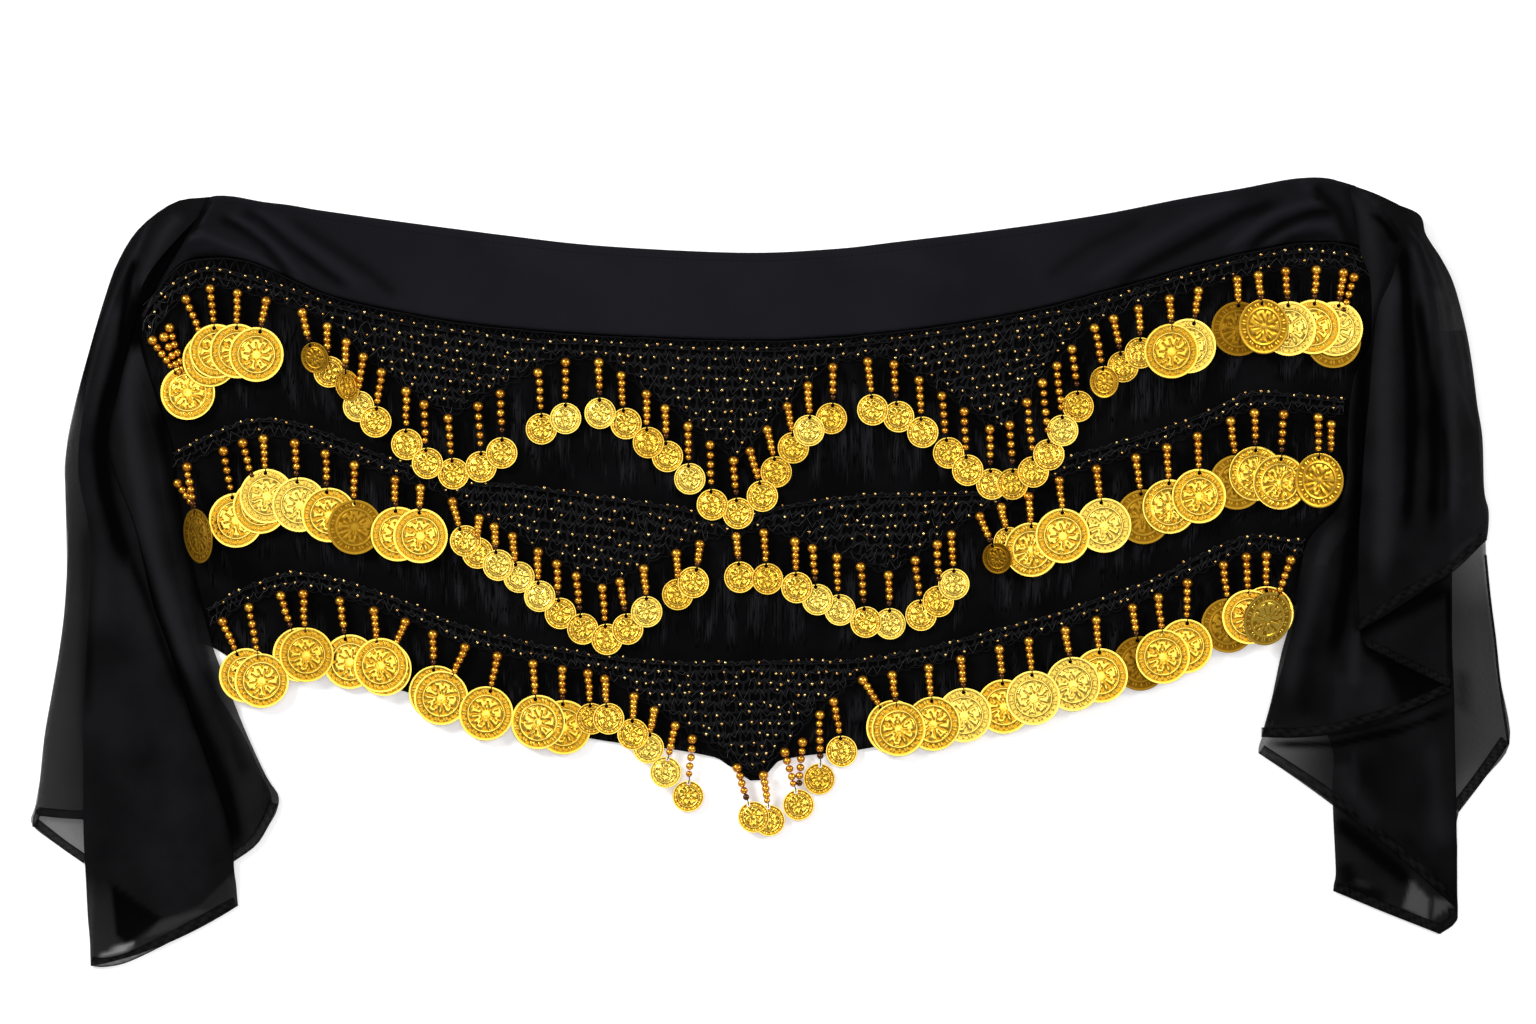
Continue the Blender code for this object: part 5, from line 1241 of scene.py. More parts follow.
for tie in ("left", "right"):
    ribbons = [hem_ribbon(f"hem_{i}", hem) for i, hem in enumerate(HEMS) if hem["tie"] == tie]
    finished(joined(f"{tie}_tie_hems", ribbons), "chiffon_hem", "chiffon")

# %% [markdown]
# ## The crochet nets
# The nets are crocheted in rows of round meshes, with a small gold bead on the yarn where rows
# meet. A grid is a good start: every second upright edge is dissolved, so that its cells lie
# like bricks, each cell is inset and its middle deleted, and a subdivision rounds the holes. The
# rows are squeezed towards the net's lower edge, and cells that end up with no height go.

# %% The lattice
MESH_WIDE, MESH_TALL = 6.3, 5.9
THINNEST_CELL = 2.4  # cells squeezed flatter than this go
UNEVEN = 1.6  # how far a knot strays at most
WAVE = 0.9  # how far the knots of a row lie above or below it by turns
YARN_WIDE, YARN_THICK = 0.52, 1.1  # half of the yarn between two meshes, and its whole thickness


def net_points(net, columns, rows):
    """The lattice's points, columns at half a mesh's width, as arrays of x and y."""
    share = np.linspace(0, 1, columns + 1)
    top_x, top_y = across(share, lambda x: edge(net, x), -END_GAP)
    low_x, low_y = across(share, lambda x: net_low(net, x), -END_GAP)
    x, y = np.empty((rows + 1, columns + 1)), np.empty((rows + 1, columns + 1))
    for row in range(rows + 1):
        depth = np.minimum(row * MESH_TALL / np.maximum(top_y - low_y, 1.0), 1.0)
        wiggle = WAVE * (-1.0) ** (np.arange(columns + 1) + row) * (0 < row) * (depth < 1)
        x[row] = top_x + depth * (low_x - top_x)
        y[row] = top_y + depth * (low_y - top_y) + wiggle
    return x, y


# %% From a grid to crochet
def crochet(net, seed):
    """One net: its lattice, and the places of the lattice's knots as arrays of x and y."""
    wide = side("right", 0.0, 0.0) - side("left", 0.0, 0.0)
    columns = 2 * int(wide / MESH_WIDE)
    deepest = max(float(edge(net, x) - net_low(net, x)) for x in np.arange(-370.0, 345.0, 2.0))
    rows = int(deepest / MESH_TALL) + 1
    x, y = net_points(net, columns, rows)
    luck = np.random.default_rng(seed)
    free = (np.abs(y - net_low(net, x)) > 1.5) & (np.arange(len(y))[:, None] > 0)
    x = x + np.where(free, np.clip(luck.normal(0, 0.95, x.shape), -UNEVEN, UNEVEN), 0)
    y = y + np.where(free, np.clip(luck.normal(0, 0.85, y.shape), -UNEVEN, UNEVEN), 0)
    nothing_selected()
    bpy.ops.mesh.primitive_grid_add(x_subdivisions=columns, y_subdivisions=rows, size=2)
    lattice = named(bpy.context.object, f"{net}_crochet")
    grid = read_points(lattice) * MM
    column = np.rint((1 + grid[:, 0]) / 2 * columns).astype(int)
    row = np.rint((1 - grid[:, 1]) / 2 * rows).astype(int)
    height = LEVEL + WALL + luck.uniform(-0.25, 0.35, len(grid))
    write_points(lattice, np.stack([x[row, column], y[row, column], height], axis=1))
    drop_thin_cells(lattice)
    dissolve_every_second(lattice, x, y)
    bpy.ops.mesh.select_all(action="SELECT")
    bpy.ops.mesh.inset(thickness=YARN_WIDE * MM, use_individual=True, use_boundary=True)
    bpy.ops.mesh.delete(type="FACE")
    bpy.ops.object.mode_set(mode="OBJECT")
    apply_modifier(lattice, "SOLIDIFY", thickness=YARN_THICK * MM, offset=-1.0)
    apply_modifier(lattice, "SUBSURF", levels=1, render_levels=1)
    faces_outwards(lattice)
    lattice.data.shade_smooth()
    return lattice, x, y


def drop_thin_cells(lattice):
    """Deletes the cells that the net's lower edge has squeezed flat. Stays in edit mode."""
    spots = read_points(lattice)

    def thin(polygon):
        corners = spots[list(polygon.vertices)]
        corners = corners[np.argsort(corners[:, 0])]
        left, right = corners[:2, 1], corners[2:, 1]
        return min(abs(left[0] - left[1]), abs(right[0] - right[1])) < THINNEST_CELL

    select_parts(lattice, "FACE", thin)
    bpy.ops.mesh.delete(type="FACE")


def dissolve_every_second(lattice, x, y):
    """Dissolves upright edges so that the cells lie like bricks. Stays in edit mode."""
    def rounded(a, b):
        return round(float(a), 2), round(float(b), 2)

    bpy.ops.object.mode_set(mode="OBJECT")
    places = {rounded(x[knot], y[knot]): knot for knot in np.ndindex(x.shape)}
    where = [places.get(rounded(a, b)) for a, b, _ in read_points(lattice)]

    def chosen(line):
        first, second = (where[i] for i in line.vertices)
        upright = first and second and first[1] == second[1]
        return upright and (min(first[0], second[0]) + first[1]) % 2

    select_parts(lattice, "EDGE", chosen)
    bpy.ops.mesh.dissolve_edges(use_verts=False)
    bpy.ops.mesh.select_mode(type="FACE")


# %% Seed beads on the yarn
SEED = ball("seed_bead_model", 8, 6)
SEED_CHANCE = {"net_top": 0.82, "net_middle": 0.66, "net_bottom": 0.74}
SEED_HEIGHT = LEVEL + WALL + 0.55


def seed_beads(net, x, y, seed):
    """Beads on every second knot of each row, with some left out."""
    luck = random.Random(seed)
    places = []
    for row in range(x.shape[0]):
        for column in range(1 + row % 2, x.shape[1] - 1, 2):
            a, b = x[row, column], y[row, column]
            if b < float(net_low(net, a)) + 2.0 or luck.random() > SEED_CHANCE[net]:
                continue
            size = luck.uniform(0.72, 0.98)
            a, b = a + luck.uniform(-1.4, 1.4), b + luck.uniform(-1.0, 0.7)
            places.append(placed((a, b, SEED_HEIGHT), size * MM))
    luck = random.Random(seed + 50)
    return copies(f"{net}_seed_beads", SEED, places, [luck.uniform(0.5, 1.0) for _ in places])


# %% Strands, worked out as in the solids
TRIED_RINGS, TRIED_SPOKES = 5, 24  # the spots of a coin that are tried against those below it
NEARLY = 0.5  # how far past another coin's rim a spot still counts as over it


def edge_frame(net, x):
    """The unit vectors along a net's lower edge and out from it."""
    rise = float(net_low(net, x + 1.5)) - float(net_low(net, x - 1.5))
    way = Vector((3.0, rise)).normalized()
    return way, Vector((way.y, -way.x))


def coin_normal(strand):
    """The way that a coin's face looks: up its slope, and turned about its strand."""
    slope_x, slope_y = strand["slope"]
    flat = Vector((-slope_x, -slope_y, 1.0)).normalized()
    return Matrix.Rotation(strand["turn"], 3, Vector((*strand["down"], 0.0))) @ flat


# %% How coins lean on each other
def lean_on_neighbours(strand, strands):
    """How a coin slopes: up over the coins that it lies on, and down under those that lie on it."""
    slope = Vector((0.0, 0.0))
    for other in strands:
        apart = other["middle"] - strand["middle"]
        if other is strand or apart.length > strand["radius"] + other["radius"]:
            continue
        way = (strand["over"] > other["over"]) - (strand["over"] < other["over"])
        distance = max(apart.length, 0.7 * strand["radius"])
        slope += apart.normalized() * way * (COIN_THICK + COIN_GAP) / distance / 2
    return slope


# %% Every strand of a net
def strands_of(net):
    """Every strand of a net: its root, its direction, its coin's radius, middle and facing."""
    luck = random.Random(len(net) * 31)
    strands = []
    for row in records(PLACE_COLUMNS, PLACES[net]):
        x, out = row["root"], edge_frame(net, row["root"])[1]
        root = Vector((x, float(net_low(net, x)))) + out * STRAND_ROOT
        middle = Vector((row["x"], row["y"]))
        strands.append({
            "place": row["place"], "x": x, "root": root, "middle": middle, "over": row["over"],
            "down": (middle - root).normalized(), "turn": math.radians(row["turn"]),
            "radius": LARGE_COIN if row["coin"] == "large" else SMALL_COIN,
        })
    for strand in strands:
        unevenly = Vector((luck.uniform(-0.02, 0.02), luck.uniform(-0.02, 0.02)))
        strand["slope"] = lean_on_neighbours(strand, strands) + unevenly
        strand["normal"] = coin_normal(strand)
    laid_coins = []
    for strand in sorted(strands, key=lambda s: (s["turn"] != 0, s["over"])):
        strand["z"] = resting_height(strand, laid_coins)
        laid_coins.append(strand)
    return strands


def resting_height(strand, laid_coins):
    """The height of a coin's middle at which it clears the cloth and the coins laid before it."""
    radius, normal, middle = strand["radius"], strand["normal"], strand["middle"]
    height = COIN_BASE + radius * math.hypot(normal.x, normal.y) + COIN_THICK / 2
    side_way = Vector((*strand["down"], 0)).cross(normal).normalized()
    long_way = normal.cross(side_way)
    steps = [(side_way * math.cos(a) + long_way * math.sin(a)) * radius * ring / TRIED_RINGS
             for ring in range(1, TRIED_RINGS + 1)
             for a in np.linspace(0, 2 * math.pi, TRIED_SPOKES + 1)[:-1]]
    for other in laid_coins:
        if (other["middle"] - middle).length > radius + other["radius"]:
            continue
        facing = other["normal"]
        for step in steps:
            x, y = middle.x + step.x - other["middle"].x, middle.y + step.y - other["middle"].y
            drop = -(facing.x * x + facing.y * y) / facing.z
            if Vector((x, y, drop)).length > other["radius"] + NEARLY:
                continue
            apart = COIN_THICK / 2 * (1 / normal.z + 1 / facing.z) + COIN_GAP
            height = max(height, other["z"] + drop + apart - step.z)
    return height


STRANDS = {net: strands_of(net) for net in NETS}
print({net: len(strands) for net, strands in STRANDS.items()}, "strands")


# %% Stalks of yarn from the net to each strand, and the cords along its edges
BODY_WIDE = 700.0
STALK_YARN, CORD_YARN, HEADER_YARN, TWIST_YARN = 0.36, 0.6, 0.45, 0.21  # the radii
STALK_FEET = (-5.2, -1.6, 1.6, 5.2)  # where a stalk's yarns start, along the net's edge


def stalk_paths(net, strands):
    """Four yarns that gather from the net's edge to the root of each strand."""
    luck = random.Random(len(strands))
    paths = []
    for strand in strands:
        way, out = edge_frame(net, strand["x"])
        root = strand["root"] - out * 0.6
        for foot in STALK_FEET:
            x = strand["x"] + way.x * foot * luck.uniform(0.8, 1.2)
            start = Vector((x, float(net_low(net, x)))) - out * luck.uniform(0.2, 1.2)
            middle = start.lerp(root, 0.55) + out * luck.uniform(-0.4, 0.5)
            paths.append(((*start, 2.6), (*middle, luck.uniform(2.9, 3.5)), (*root, 3.6)))
    return paths


def cord_path(curve, step, wander, height, seed):
    """A cord along a curve of the net, with a knot at every step, slightly uneven."""
    luck = random.Random(seed)
    x, y = across(np.linspace(0, 1, int(BODY_WIDE / step) + 1), curve, -END_GAP - 0.6)
    return [(a, b + luck.uniform(-wander, wander), height + luck.uniform(-0.15, 0.25))
            for a, b in zip(x, y)]


def header_path(net, step, height):
    """The zigzag of yarn that joins the top net to the waistband's seam."""
    share = np.linspace(0.004, 0.996, int(BODY_WIDE / step) + 1)
    up_x, up_y = across(share, lambda x: edge("seam", x) - 0.6, -END_GAP)
    low_x, low_y = across(share, lambda x: edge(net, x) - 0.4, -END_GAP)
    odd = np.arange(len(share)) % 2 == 1
    return [(a, b, height) for a, b in zip(np.where(odd, up_x, low_x), np.where(odd, up_y, low_y))]


# %% Twisted thread, and arches along the lower edge
def twist_paths(net, x, y, seed):
    """A thin shiny thread that runs with the yarn of each row, over one mesh and under the next."""
    luck = random.Random(seed)
    paths = []
    for row in range(x.shape[0]):
        path = []
        for column, (a, b, low) in enumerate(zip(x[row], y[row], net_low(net, x[row]))):
            if b > low + 1.0:
                wander = 1.3 * (-1) ** (column + row) + luck.uniform(-0.7, 0.7)
                aside = luck.uniform(-0.5, 0.5)
                path.append((a + aside, b - 0.6 + wander, 3.0 + luck.uniform(-0.2, 0.3)))
            if path and (b <= low + 1.0 or luck.random() < 0.06):
                paths.append(path)
                path = []
        paths.append(path)
    return [path for path in paths if len(path) > 2]


def picot_paths(net, seed):
    """Little arches of yarn along the net's lower edge."""
    luck = random.Random(seed)
    x, y = across(np.linspace(0, 1, 190), lambda spot: net_low(net, spot), -END_GAP - 0.8)
    return [((x[i], y[i], 2.5), (x[i + 1], y[i + 1] - luck.uniform(0.6, 1.8), 2.9),
             (x[i + 2], y[i + 2], 2.5)) for i in range(0, len(x) - 2, 2)]


# %% Every net, with its edging and its beads
for place, net in enumerate(NETS):
    lattice, x, y = crochet(net, place + 3)
    upper = cord_path(lambda spot: edge(net, spot) - 0.4, 4.0, wander=0.35, height=2.75, seed=place)
    second = cord_path(lambda spot: edge(net, spot) - 1.8, 3.5, wander=0.3, height=2.6, seed=place + 9)
    small = stalk_paths(net, STRANDS[net]) + picot_paths(net, place)
    cords = yarns(f"{net}_cords", [upper, second], CORD_YARN)
    edging = [yarns(f"{net}_stalks", small, STALK_YARN, 0), cords]
    if net == "net_top":
        seam = cord_path(lambda spot: edge("seam", spot) - 0.9, 6.0, wander=0.3, height=3.4, seed=40)
        header = header_path(net, step=3.4, height=3.0)
        edging.append(yarns("seam_header", [header, seam], HEADER_YARN, 0, 2))
    twists = yarns(f"{net}_twists", twist_paths(net, x, y, place + 30), TWIST_YARN, 0, 2)
    finished(lattice, "crochet_yarn", "crochet", net)
    finished(joined(f"{net}_edging", edging), "crochet_yarn", "crochet")
    finished(twists, "shiny_yarn", "crochet")
    finished(seed_beads(net, x, y, place + 20), "seed_bead", "gold")
bpy.data.objects.remove(SEED)

# %% [markdown]
# ## The coins
# The coins are stamped from thin brass: a raised rim, a ring of short marks, an inner ring, and
# uneven strokes round a boss. Each size has two stamps. Pressed relief has sloping walls, and it
# is those slopes that catch the light when a coin is seen straight on. So each ring is an inset
# whose inner face is moved up or down, and the marks and strokes are insets that rise as they
# shrink. The hole for the thread is cut last.

# %% The relief: its rings from the rim to the middle, and its marks and strokes
PROFILE_COLUMNS = ("ring", "share", "height")
PROFILE = records(PROFILE_COLUMNS, (
    ("rim", 0.955, 0.42), ("rim_foot", 0.90, 0.08),
    ("marks", 0.72, 0.08),
    ("inner_ring_rise", 0.685, 0.38), ("inner_ring", 0.655, 0.38), ("inner_ring_foot", 0.61, 0.06),
    ("outer_figures", 0.46, 0.08), ("middle_figures", 0.31, 0.08), ("inner_figures", 0.17, 0.10),
    ("boss", 0.09, 0.36),
))
BLANK_THICK = 0.6  # the coin before it is stamped
RELIEF_TOP = 0.42
MARKS = (0.74, 0.88)  # where the short marks lie, as shares of the radius
FIGURES = (0.17, 0.61)  # the same for the strokes, in three rings
FIGURE_RINGS, FIGURE_DEEP = 3, 0.147
MARK_GAP, SLOPE = 0.016, 0.022  # the gap round a mark, and a pressed slope's width, as shares too
MARK_RISE, FIGURE_RISE = 0.30, 0.24
HOLE_PLACE, HOLE_RADIUS = 0.84, 1.15  # its middle as a share of the coin's radius


# %% A coin
def coin_model(name, radius, spokes, seed):
    """One coin, facing up, with its hole towards +Y."""
    nothing_selected()
    bpy.ops.mesh.primitive_cylinder_add(vertices=spokes, radius=radius * MM, depth=BLANK_THICK * MM)
    coin = named(bpy.context.object, name)
    select_parts(coin, "FACE", lambda polygon: polygon.normal.z > 0.9)
    reach, height = radius, BLANK_THICK / 2
    for ring in PROFILE:
        narrower = (reach - ring["share"] * radius) * math.cos(math.pi / spokes)
        bpy.ops.mesh.inset(thickness=narrower * MM)
        bpy.ops.transform.translate(value=(0, 0, (ring["height"] - height) * MM))
        reach, height = ring["share"] * radius, ring["height"]
    bpy.ops.mesh.poke()
    raise_marks(coin, radius, spokes)
    raise_figures(coin, radius, spokes, seed)
    bpy.ops.object.mode_set(mode="OBJECT")
    cut_hole(coin, radius)
    points = read_points(coin)
    keep(coin, relief=np.clip(points[:, 2] / RELIEF_TOP, 0, 1))
    set_uv(coin, 0.5 + points[:, :2] / (2 * radius))
    only(coin)
    bpy.ops.object.shade_smooth_by_angle(angle=math.radians(52))
    return coin


# %% Its marks, its strokes and its hole
def away_from_middle(polygon, radius):
    """How far a face lies from the coin's middle, as a share of its radius."""
    return math.hypot(polygon.center.x, polygon.center.y) / (radius * MM)


def in_ring(polygon, radius, ring):
    """Whether a face of the coin's upper side lies in a ring."""
    return polygon.normal.z > 0.8 and ring[0] < away_from_middle(polygon, radius) < ring[1]


def spoke_of(polygon, spokes):
    """The number of the spoke that a face lies in, counted from +X."""
    angle = math.atan2(polygon.center.y, polygon.center.x) % (2 * math.pi)
    return int(angle / (2 * math.pi) * spokes)


def raise_marks(coin, radius, spokes):
    """A ring of short marks between the rim and the inner ring."""
    pattern = (1, 1, 0, 1, 0, 1, 1, 0)
    select_parts(coin, "FACE", lambda polygon: in_ring(polygon, radius, MARKS)
                 and pattern[spoke_of(polygon, spokes) % len(pattern)])
    bpy.ops.mesh.inset(thickness=MARK_GAP * radius * MM, depth=0, use_individual=True)
    bpy.ops.mesh.inset(thickness=SLOPE * radius * MM, depth=MARK_RISE * MM, use_individual=True)


def raise_figures(coin, radius, spokes, seed):
    """The ornament inside the inner ring: strokes of uneven length, joined here and there."""
    luck = random.Random(seed)
    inked = set()
    for ring in range(FIGURE_RINGS):
        spoke = luck.randrange(3)
        while spoke < spokes:
            long = luck.choice((2, 2, 3, 4, 5))
            inked.update((ring, place) for place in range(spoke, min(spoke + long, spokes)))
            spoke += long + luck.choice((1, 1, 2))

    def raised(polygon):
        ring = int((FIGURES[1] - away_from_middle(polygon, radius)) / FIGURE_DEEP)
        return in_ring(polygon, radius, FIGURES) and (ring, spoke_of(polygon, spokes)) in inked

    select_parts(coin, "FACE", raised)
    bpy.ops.mesh.inset(thickness=SLOPE * radius * MM)
    bpy.ops.transform.translate(value=(0, 0, FIGURE_RISE * MM))


def cut_hole(coin, radius):
    """Cuts the hole that the thread runs through."""
    nothing_selected()
    bpy.ops.mesh.primitive_cylinder_add(
        vertices=12, radius=HOLE_RADIUS * MM, depth=4 * MM, location=(0, HOLE_PLACE * radius * MM, 0))
    punch = bpy.context.object
    apply_modifier(coin, "BOOLEAN", operation="DIFFERENCE", object=punch, solver="EXACT")
    bpy.data.objects.remove(punch)


# %% Two stamps of each size
COIN_MODELS = {
    LARGE_COIN: [coin_model(f"large_coin_model_{i}", LARGE_COIN, 48, i + 1) for i in range(2)],
    SMALL_COIN: [coin_model(f"small_coin_model_{i}", SMALL_COIN, 36, i + 4) for i in range(2)],
}
print({size: triangles_of(models[0]) for size, models in COIN_MODELS.items()}, "triangles a coin")


# %% Every coin in its place
def coin_place(strand):
    """A coin's matrix, with its hole towards the strand, and the way to the hole."""
    down, normal = Vector((*strand["down"], 0)), strand["normal"]
    toward = normal.cross(down.cross(normal).normalized()).normalized()
    if toward.dot(down) > 0:
        toward.negate()
    turn = Matrix((toward.cross(normal), toward, normal)).transposed()
    return placed((*strand["middle"], strand["z"]), 1.0, turn), toward


# %% Coins painted dark, as painted shade for coins tilted from the light, and coins painted pale, as a painted reflection
DARK_COINS = {
    "net_top": (5, 7, 40, 45, 46, 50), "net_middle": (0, 6, 31, 36, 39, 42), "net_bottom": (31, 34),
}
PALE_COINS = {
    "net_top": (8, 16, 17, 21, 27, 38, 44, 47, 49),
    "net_middle": (3, 4, 11, 12, 13, 18, 24, 25, 27, 30, 35), "net_bottom": (15, 16, 26, 28, 29),
}


def tone_of(net, place, luck):
    """How bright a coin is, from 0 to 1."""
    if place in DARK_COINS[net]:
        return luck.uniform(0.15, 0.35)
    if place in PALE_COINS[net]:
        return luck.uniform(0.95, 1.0)
    return luck.choice((0.45, 0.6, 0.7, 0.8, 0.85))


def coins(net):
    """The coins of a net's strands as one piece. It also notes where each coin's hole is."""
    luck = random.Random(net)
    batches = {}
    for strand in STRANDS[net]:
        matrix, toward = coin_place(strand)
        strand["hole"] = Vector((*strand["middle"], strand["z"])) + toward * HOLE_PLACE * strand["radius"]
        batch = batches.setdefault((strand["radius"], strand["place"] % 3 == 1), [])
        batch.append((matrix, strand["place"]))
    made = []
    for (radius, second), found in sorted(batches.items()):
        matrices, places = zip(*found)
        tones = [tone_of(net, place, luck) for place in places]
        made.append(copies(f"coins_{radius}_{second}", COIN_MODELS[radius][second], matrices, tones))
    return joined(f"{net.replace('net', 'fringe')}_coins", made)


# %% [markdown]
# ## The strands of beads
# Each strand threads a round bead, a few slightly smaller ones, and one small glassy bead, and
# ends in a loop of thread through the coin. One sphere is the model for all of them. Beads on a
# slack thread never line up perfectly, so each is a little off its place.

# %% The beads of a strand
BEAD = ball("bead_model", 12, 8, stretch=(1, 1, 0.94))
BEAD_RADII = (2.95, 2.45, 2.4, 2.35, 1.95)
MORE_RADII = (BEAD_RADII[0], 2.2, *BEAD_RADII[1:])  # for a strand that is longer than most
BEAD_FLOOR = 2.5  # the lowest that a bead's underside lies


def beads_between(start, end, luck):
    """Bead places, sizes and tones from the net's edge to just short of the coin."""
    way = end - start
    radii = MORE_RADII if way.length > 1.15 * 2 * sum(BEAD_RADII) else BEAD_RADII
    squeeze = way.length / (2 * sum(radii))
    found, gone = [], 0.0
    for i, radius in enumerate(radii):
        spot = start + way.normalized() * (gone + radius * squeeze)
        gone += 2 * radius * squeeze
        spot.x += luck.uniform(-0.25, 0.25)
        spot.z = max(spot.z, BEAD_FLOOR + radius)
        glassy = i == len(radii) - 1
        tone = luck.choice((0.0, 0.0, 0.7, 0.8, 0.9)) if glassy else luck.uniform(0.7, 1.0)
        found.append((spot, radius * luck.uniform(0.96, 1.03), tone))
    return found


def paint_side_shade(beads):
    """Painted shade: a bead's tone falls off round its sides, away from the light above."""
    tone = beads.data.attributes["tone"].data
    for point in beads.data.vertices:
        # painted shade: lower the tone where the surface faces away from above
        tone[point.index].value *= 0.5 + 0.5 * max(point.normal.z, 0.0) ** 1.5


def strand_beads(name, ends, luck):
    """The beads of every strand as one piece, each turned its own way."""
    found = [bead for start, end in ends for bead in beads_between(start, end, luck)]
    places = [placed(spot, radius * MM, Matrix.Rotation(luck.uniform(0, 3), 3, "X"))
              for spot, radius, _ in found]
    beads = copies(name, BEAD, places, [tone for _, _, tone in found])
    paint_side_shade(beads)
    return beads


def thread_loops(name, ends):
    """The thread from the last bead, through the coin's hole and back under it."""
    aside, above, below = Vector((0.35, 0, 0.9)), Vector((0, 0, 0.5)), Vector((0, 0, 0.7))
    paths = [(last, last.lerp(hole, 0.5) + aside, hole + above, hole - below) for last, hole in ends]
    return yarns(name, paths, 0.3)


# %% Each net's fringe, with the strands that hang without a coin
BARE_COLUMNS = ("net", "from_x", "from_y", "to_x", "to_y")
BARE = records(BARE_COLUMNS, (
    ("net_top", -352.6, 139.2, -342.2, 113.7), ("net_top", -349.2, 144.4, -340.5, 116),
    ("net_middle", -345.1, 53.4, -333.5, 36.5), ("net_middle", 324.8, 87.6, 324.2, 69.6),
    ("net_bottom", 18.6, -95.7, 16.2, -124.1),
))
THREAD_SHARE = {SMALL_COIN: 0.12, LARGE_COIN: 0.13}  # how much of a strand shows its thread
TO_FIRST_BEAD = 3.6  # how far back from a strand's root its first bead starts
BEAD_START, BEAD_END = 4.9, 4.4  # the height at which beads start, and the lowest that they end


def fringe(net):
    """Every coin, bead and thread below one net."""
    luck = random.Random(len(net) + 5)
    fringe_name = net.replace("net", "fringe")
    disc = coins(net)
    ends, loops = [], []
    for strand in STRANDS[net]:
        out = edge_frame(net, strand["x"])[1]
        start = Vector((*(strand["root"] - out * TO_FIRST_BEAD), BEAD_START))
        rim = strand["hole"].lerp(start, THREAD_SHARE[strand["radius"]])
        rim.z = max(strand["z"], BEAD_END)
        ends.append((start, rim))
        loops.append((rim.lerp(start, 0.03), strand["hole"]))
    for row in BARE:
        if row["net"] == net:
            root, end = (row["from_x"], row["from_y"], 5.0), (row["to_x"], row["to_y"], 4.6)
            ends.append((Vector(root), Vector(end)))
    beads = strand_beads(f"{fringe_name}_beads", ends, luck)
    finished(disc, "stamped_gold", "gold", fringe_name)
    finished(beads, "gold_bead", "gold")
    finished(thread_loops(f"{fringe_name}_threads", loops), "crochet_yarn", "crochet")


for net in NETS:
    fringe(net)
for model in [BEAD, *(coin for models in COIN_MODELS.values() for coin in models)]:
    bpy.data.objects.remove(model)

# %% [markdown]
# ## What is cloth
# Every sheet of cloth has the size of its cut that shows listed here, and its area is printed beside
# the area of its cloth.

CUTS = {
    "waistband": (0.70, 0.075, 0.034), "body_panel": (0.76, 0.31, 0.170),
    "net_top": (0.71, 0.055, 0.0130), "net_middle": (0.69, 0.042, 0.0100),
    "net_bottom": (0.65, 0.038, 0.0088),
    "left_tie_back": (0.14, 0.34, 0.024), "left_tie_side": (0.14, 0.42, 0.028),
    "left_tie_front": (0.11, 0.46, 0.019),
    "right_tie_back": (0.12, 0.36, 0.028), "right_tie_lower": (0.13, 0.20, 0.016),
    "right_tie_middle": (0.12, 0.31, 0.020), "right_tie_flap": (0.055, 0.07, 0.0021),
    "right_tie_front": (0.09, 0.25, 0.0127),
}
laid(waistband, CUTS["waistband"], [topstitch])
laid(panel, CUTS["body_panel"])
for net in NETS:
    fringe_name = net.replace("net", "fringe")
    with_net = [f"{net}_edging", f"{net}_twists", f"{net}_seed_beads", f"{fringe_name}_coins",
                f"{fringe_name}_beads", f"{fringe_name}_threads"]
    laid(bpy.data.objects[f"{net}_crochet"], CUTS[net], with_net)
under = []
for layer, piece in TIE_LAYERS.items():
    tie, place = layer.split("_tie_")
    laid(piece, CUTS[layer], [f"{tie}_tie_hems"] if place == "front" else ())
    under = [] if place == "front" else [piece.name]

# %% [markdown]
# ## Floor, light and camera
# Black cloth on a white floor needs broad soft light, or its folds vanish. Gold is the opposite:
# it shows what it mirrors, so a bright panel overhead keeps the coins' faces bright, and smaller
# ones at the sides put a glint on each slope of the relief. A weak one in front lifts the folds.
# The camera hangs straight above with a long lens, so that nothing leans.

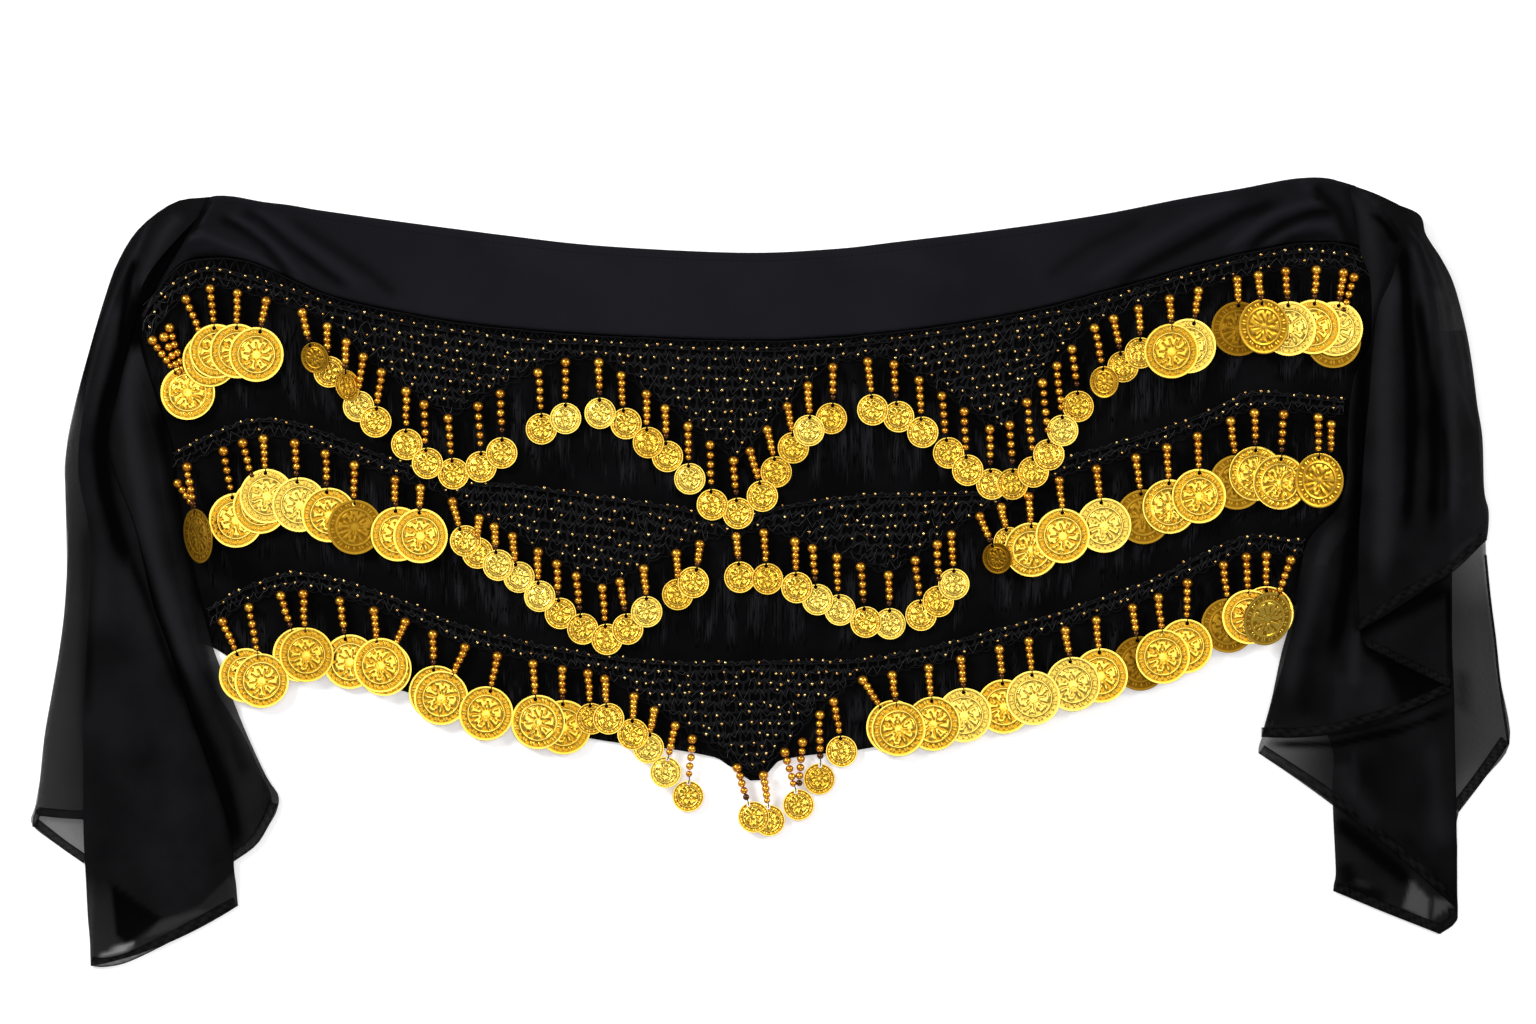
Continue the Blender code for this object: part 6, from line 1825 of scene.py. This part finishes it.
# %% Floor
def floor_finish():
    """A pale floor that gives a little light of its own, so that it stays white under the scarf."""
    finish = Finish("pale_floor", {
        "Roughness": 0.9, "Specular IOR Level": 0.1, "Emission Color": rgb(1.0, 1.0, 1.0),
        "Emission Strength": 0.3,
    })
    cloudy = finish.noise(finish.here(), 3.0, 2.0)
    finish.paint("Base Color", finish.mixed(cloudy, rgb(0.93, 0.93, 0.93), rgb(0.95, 0.95, 0.95)))
    return finish.material


FLOOR_DROP = 0.0003  # metres below the cloth's underside
nothing_selected()
bpy.ops.mesh.primitive_plane_add(size=8.0)
floor = named(bpy.context.object, "floor")
floor.data.transform(Matrix.Translation((0, 0, -FLOOR_DROP)))
floor.data.materials.append(floor_finish())

# %% Light
LIGHT_COLUMNS = ("name", "place", "size", "power")
LIGHTS = records(LIGHT_COLUMNS, (
    ("overhead", (0.0, 0.3, 4.6), 2.8, 43.0),
    ("window_left", (-2.2, 1.6, 1.9), 1.1, 90.0),
    ("window_right", (2.4, 0.9, 1.7), 0.9, 38.0),
    ("low_front", (0.3, -2.6, 1.4), 0.8, 12.0),
))


def add_light(row):
    """A square panel of light that looks at the scarf."""
    nothing_selected()
    bpy.ops.object.light_add(type="AREA", location=row["place"])
    light = bpy.context.object
    light.name = row["name"]
    light.data.size, light.data.energy = row["size"], row["power"]
    towards = -Vector(row["place"])
    light.rotation_euler = towards.to_track_quat("-Z", "Y").to_euler()


for row in LIGHTS:
    add_light(row)
world = bpy.data.worlds.new("studio")
bpy.context.scene.world = world
world.use_nodes = True
sky = world.node_tree.nodes["Background"].inputs
sky["Color"].default_value, sky["Strength"].default_value = rgb(1.0, 1.0, 1.0), 0.28
bpy.context.scene.view_settings.view_transform = "Standard"

# %% Camera
VIEW_WIDTH = 0.891  # metres across the view
VIEW_MIDDLE = (-0.0017, 0.0348)
CAMERA_HEIGHT = 4.0
SENSOR = 36.0
nothing_selected()
bpy.ops.object.camera_add(location=(*VIEW_MIDDLE, CAMERA_HEIGHT), rotation=(0, 0, 0))
camera = bpy.context.object
camera.data.sensor_width = SENSOR
camera.data.lens = SENSOR * CAMERA_HEIGHT / VIEW_WIDTH
bpy.context.scene.camera = camera
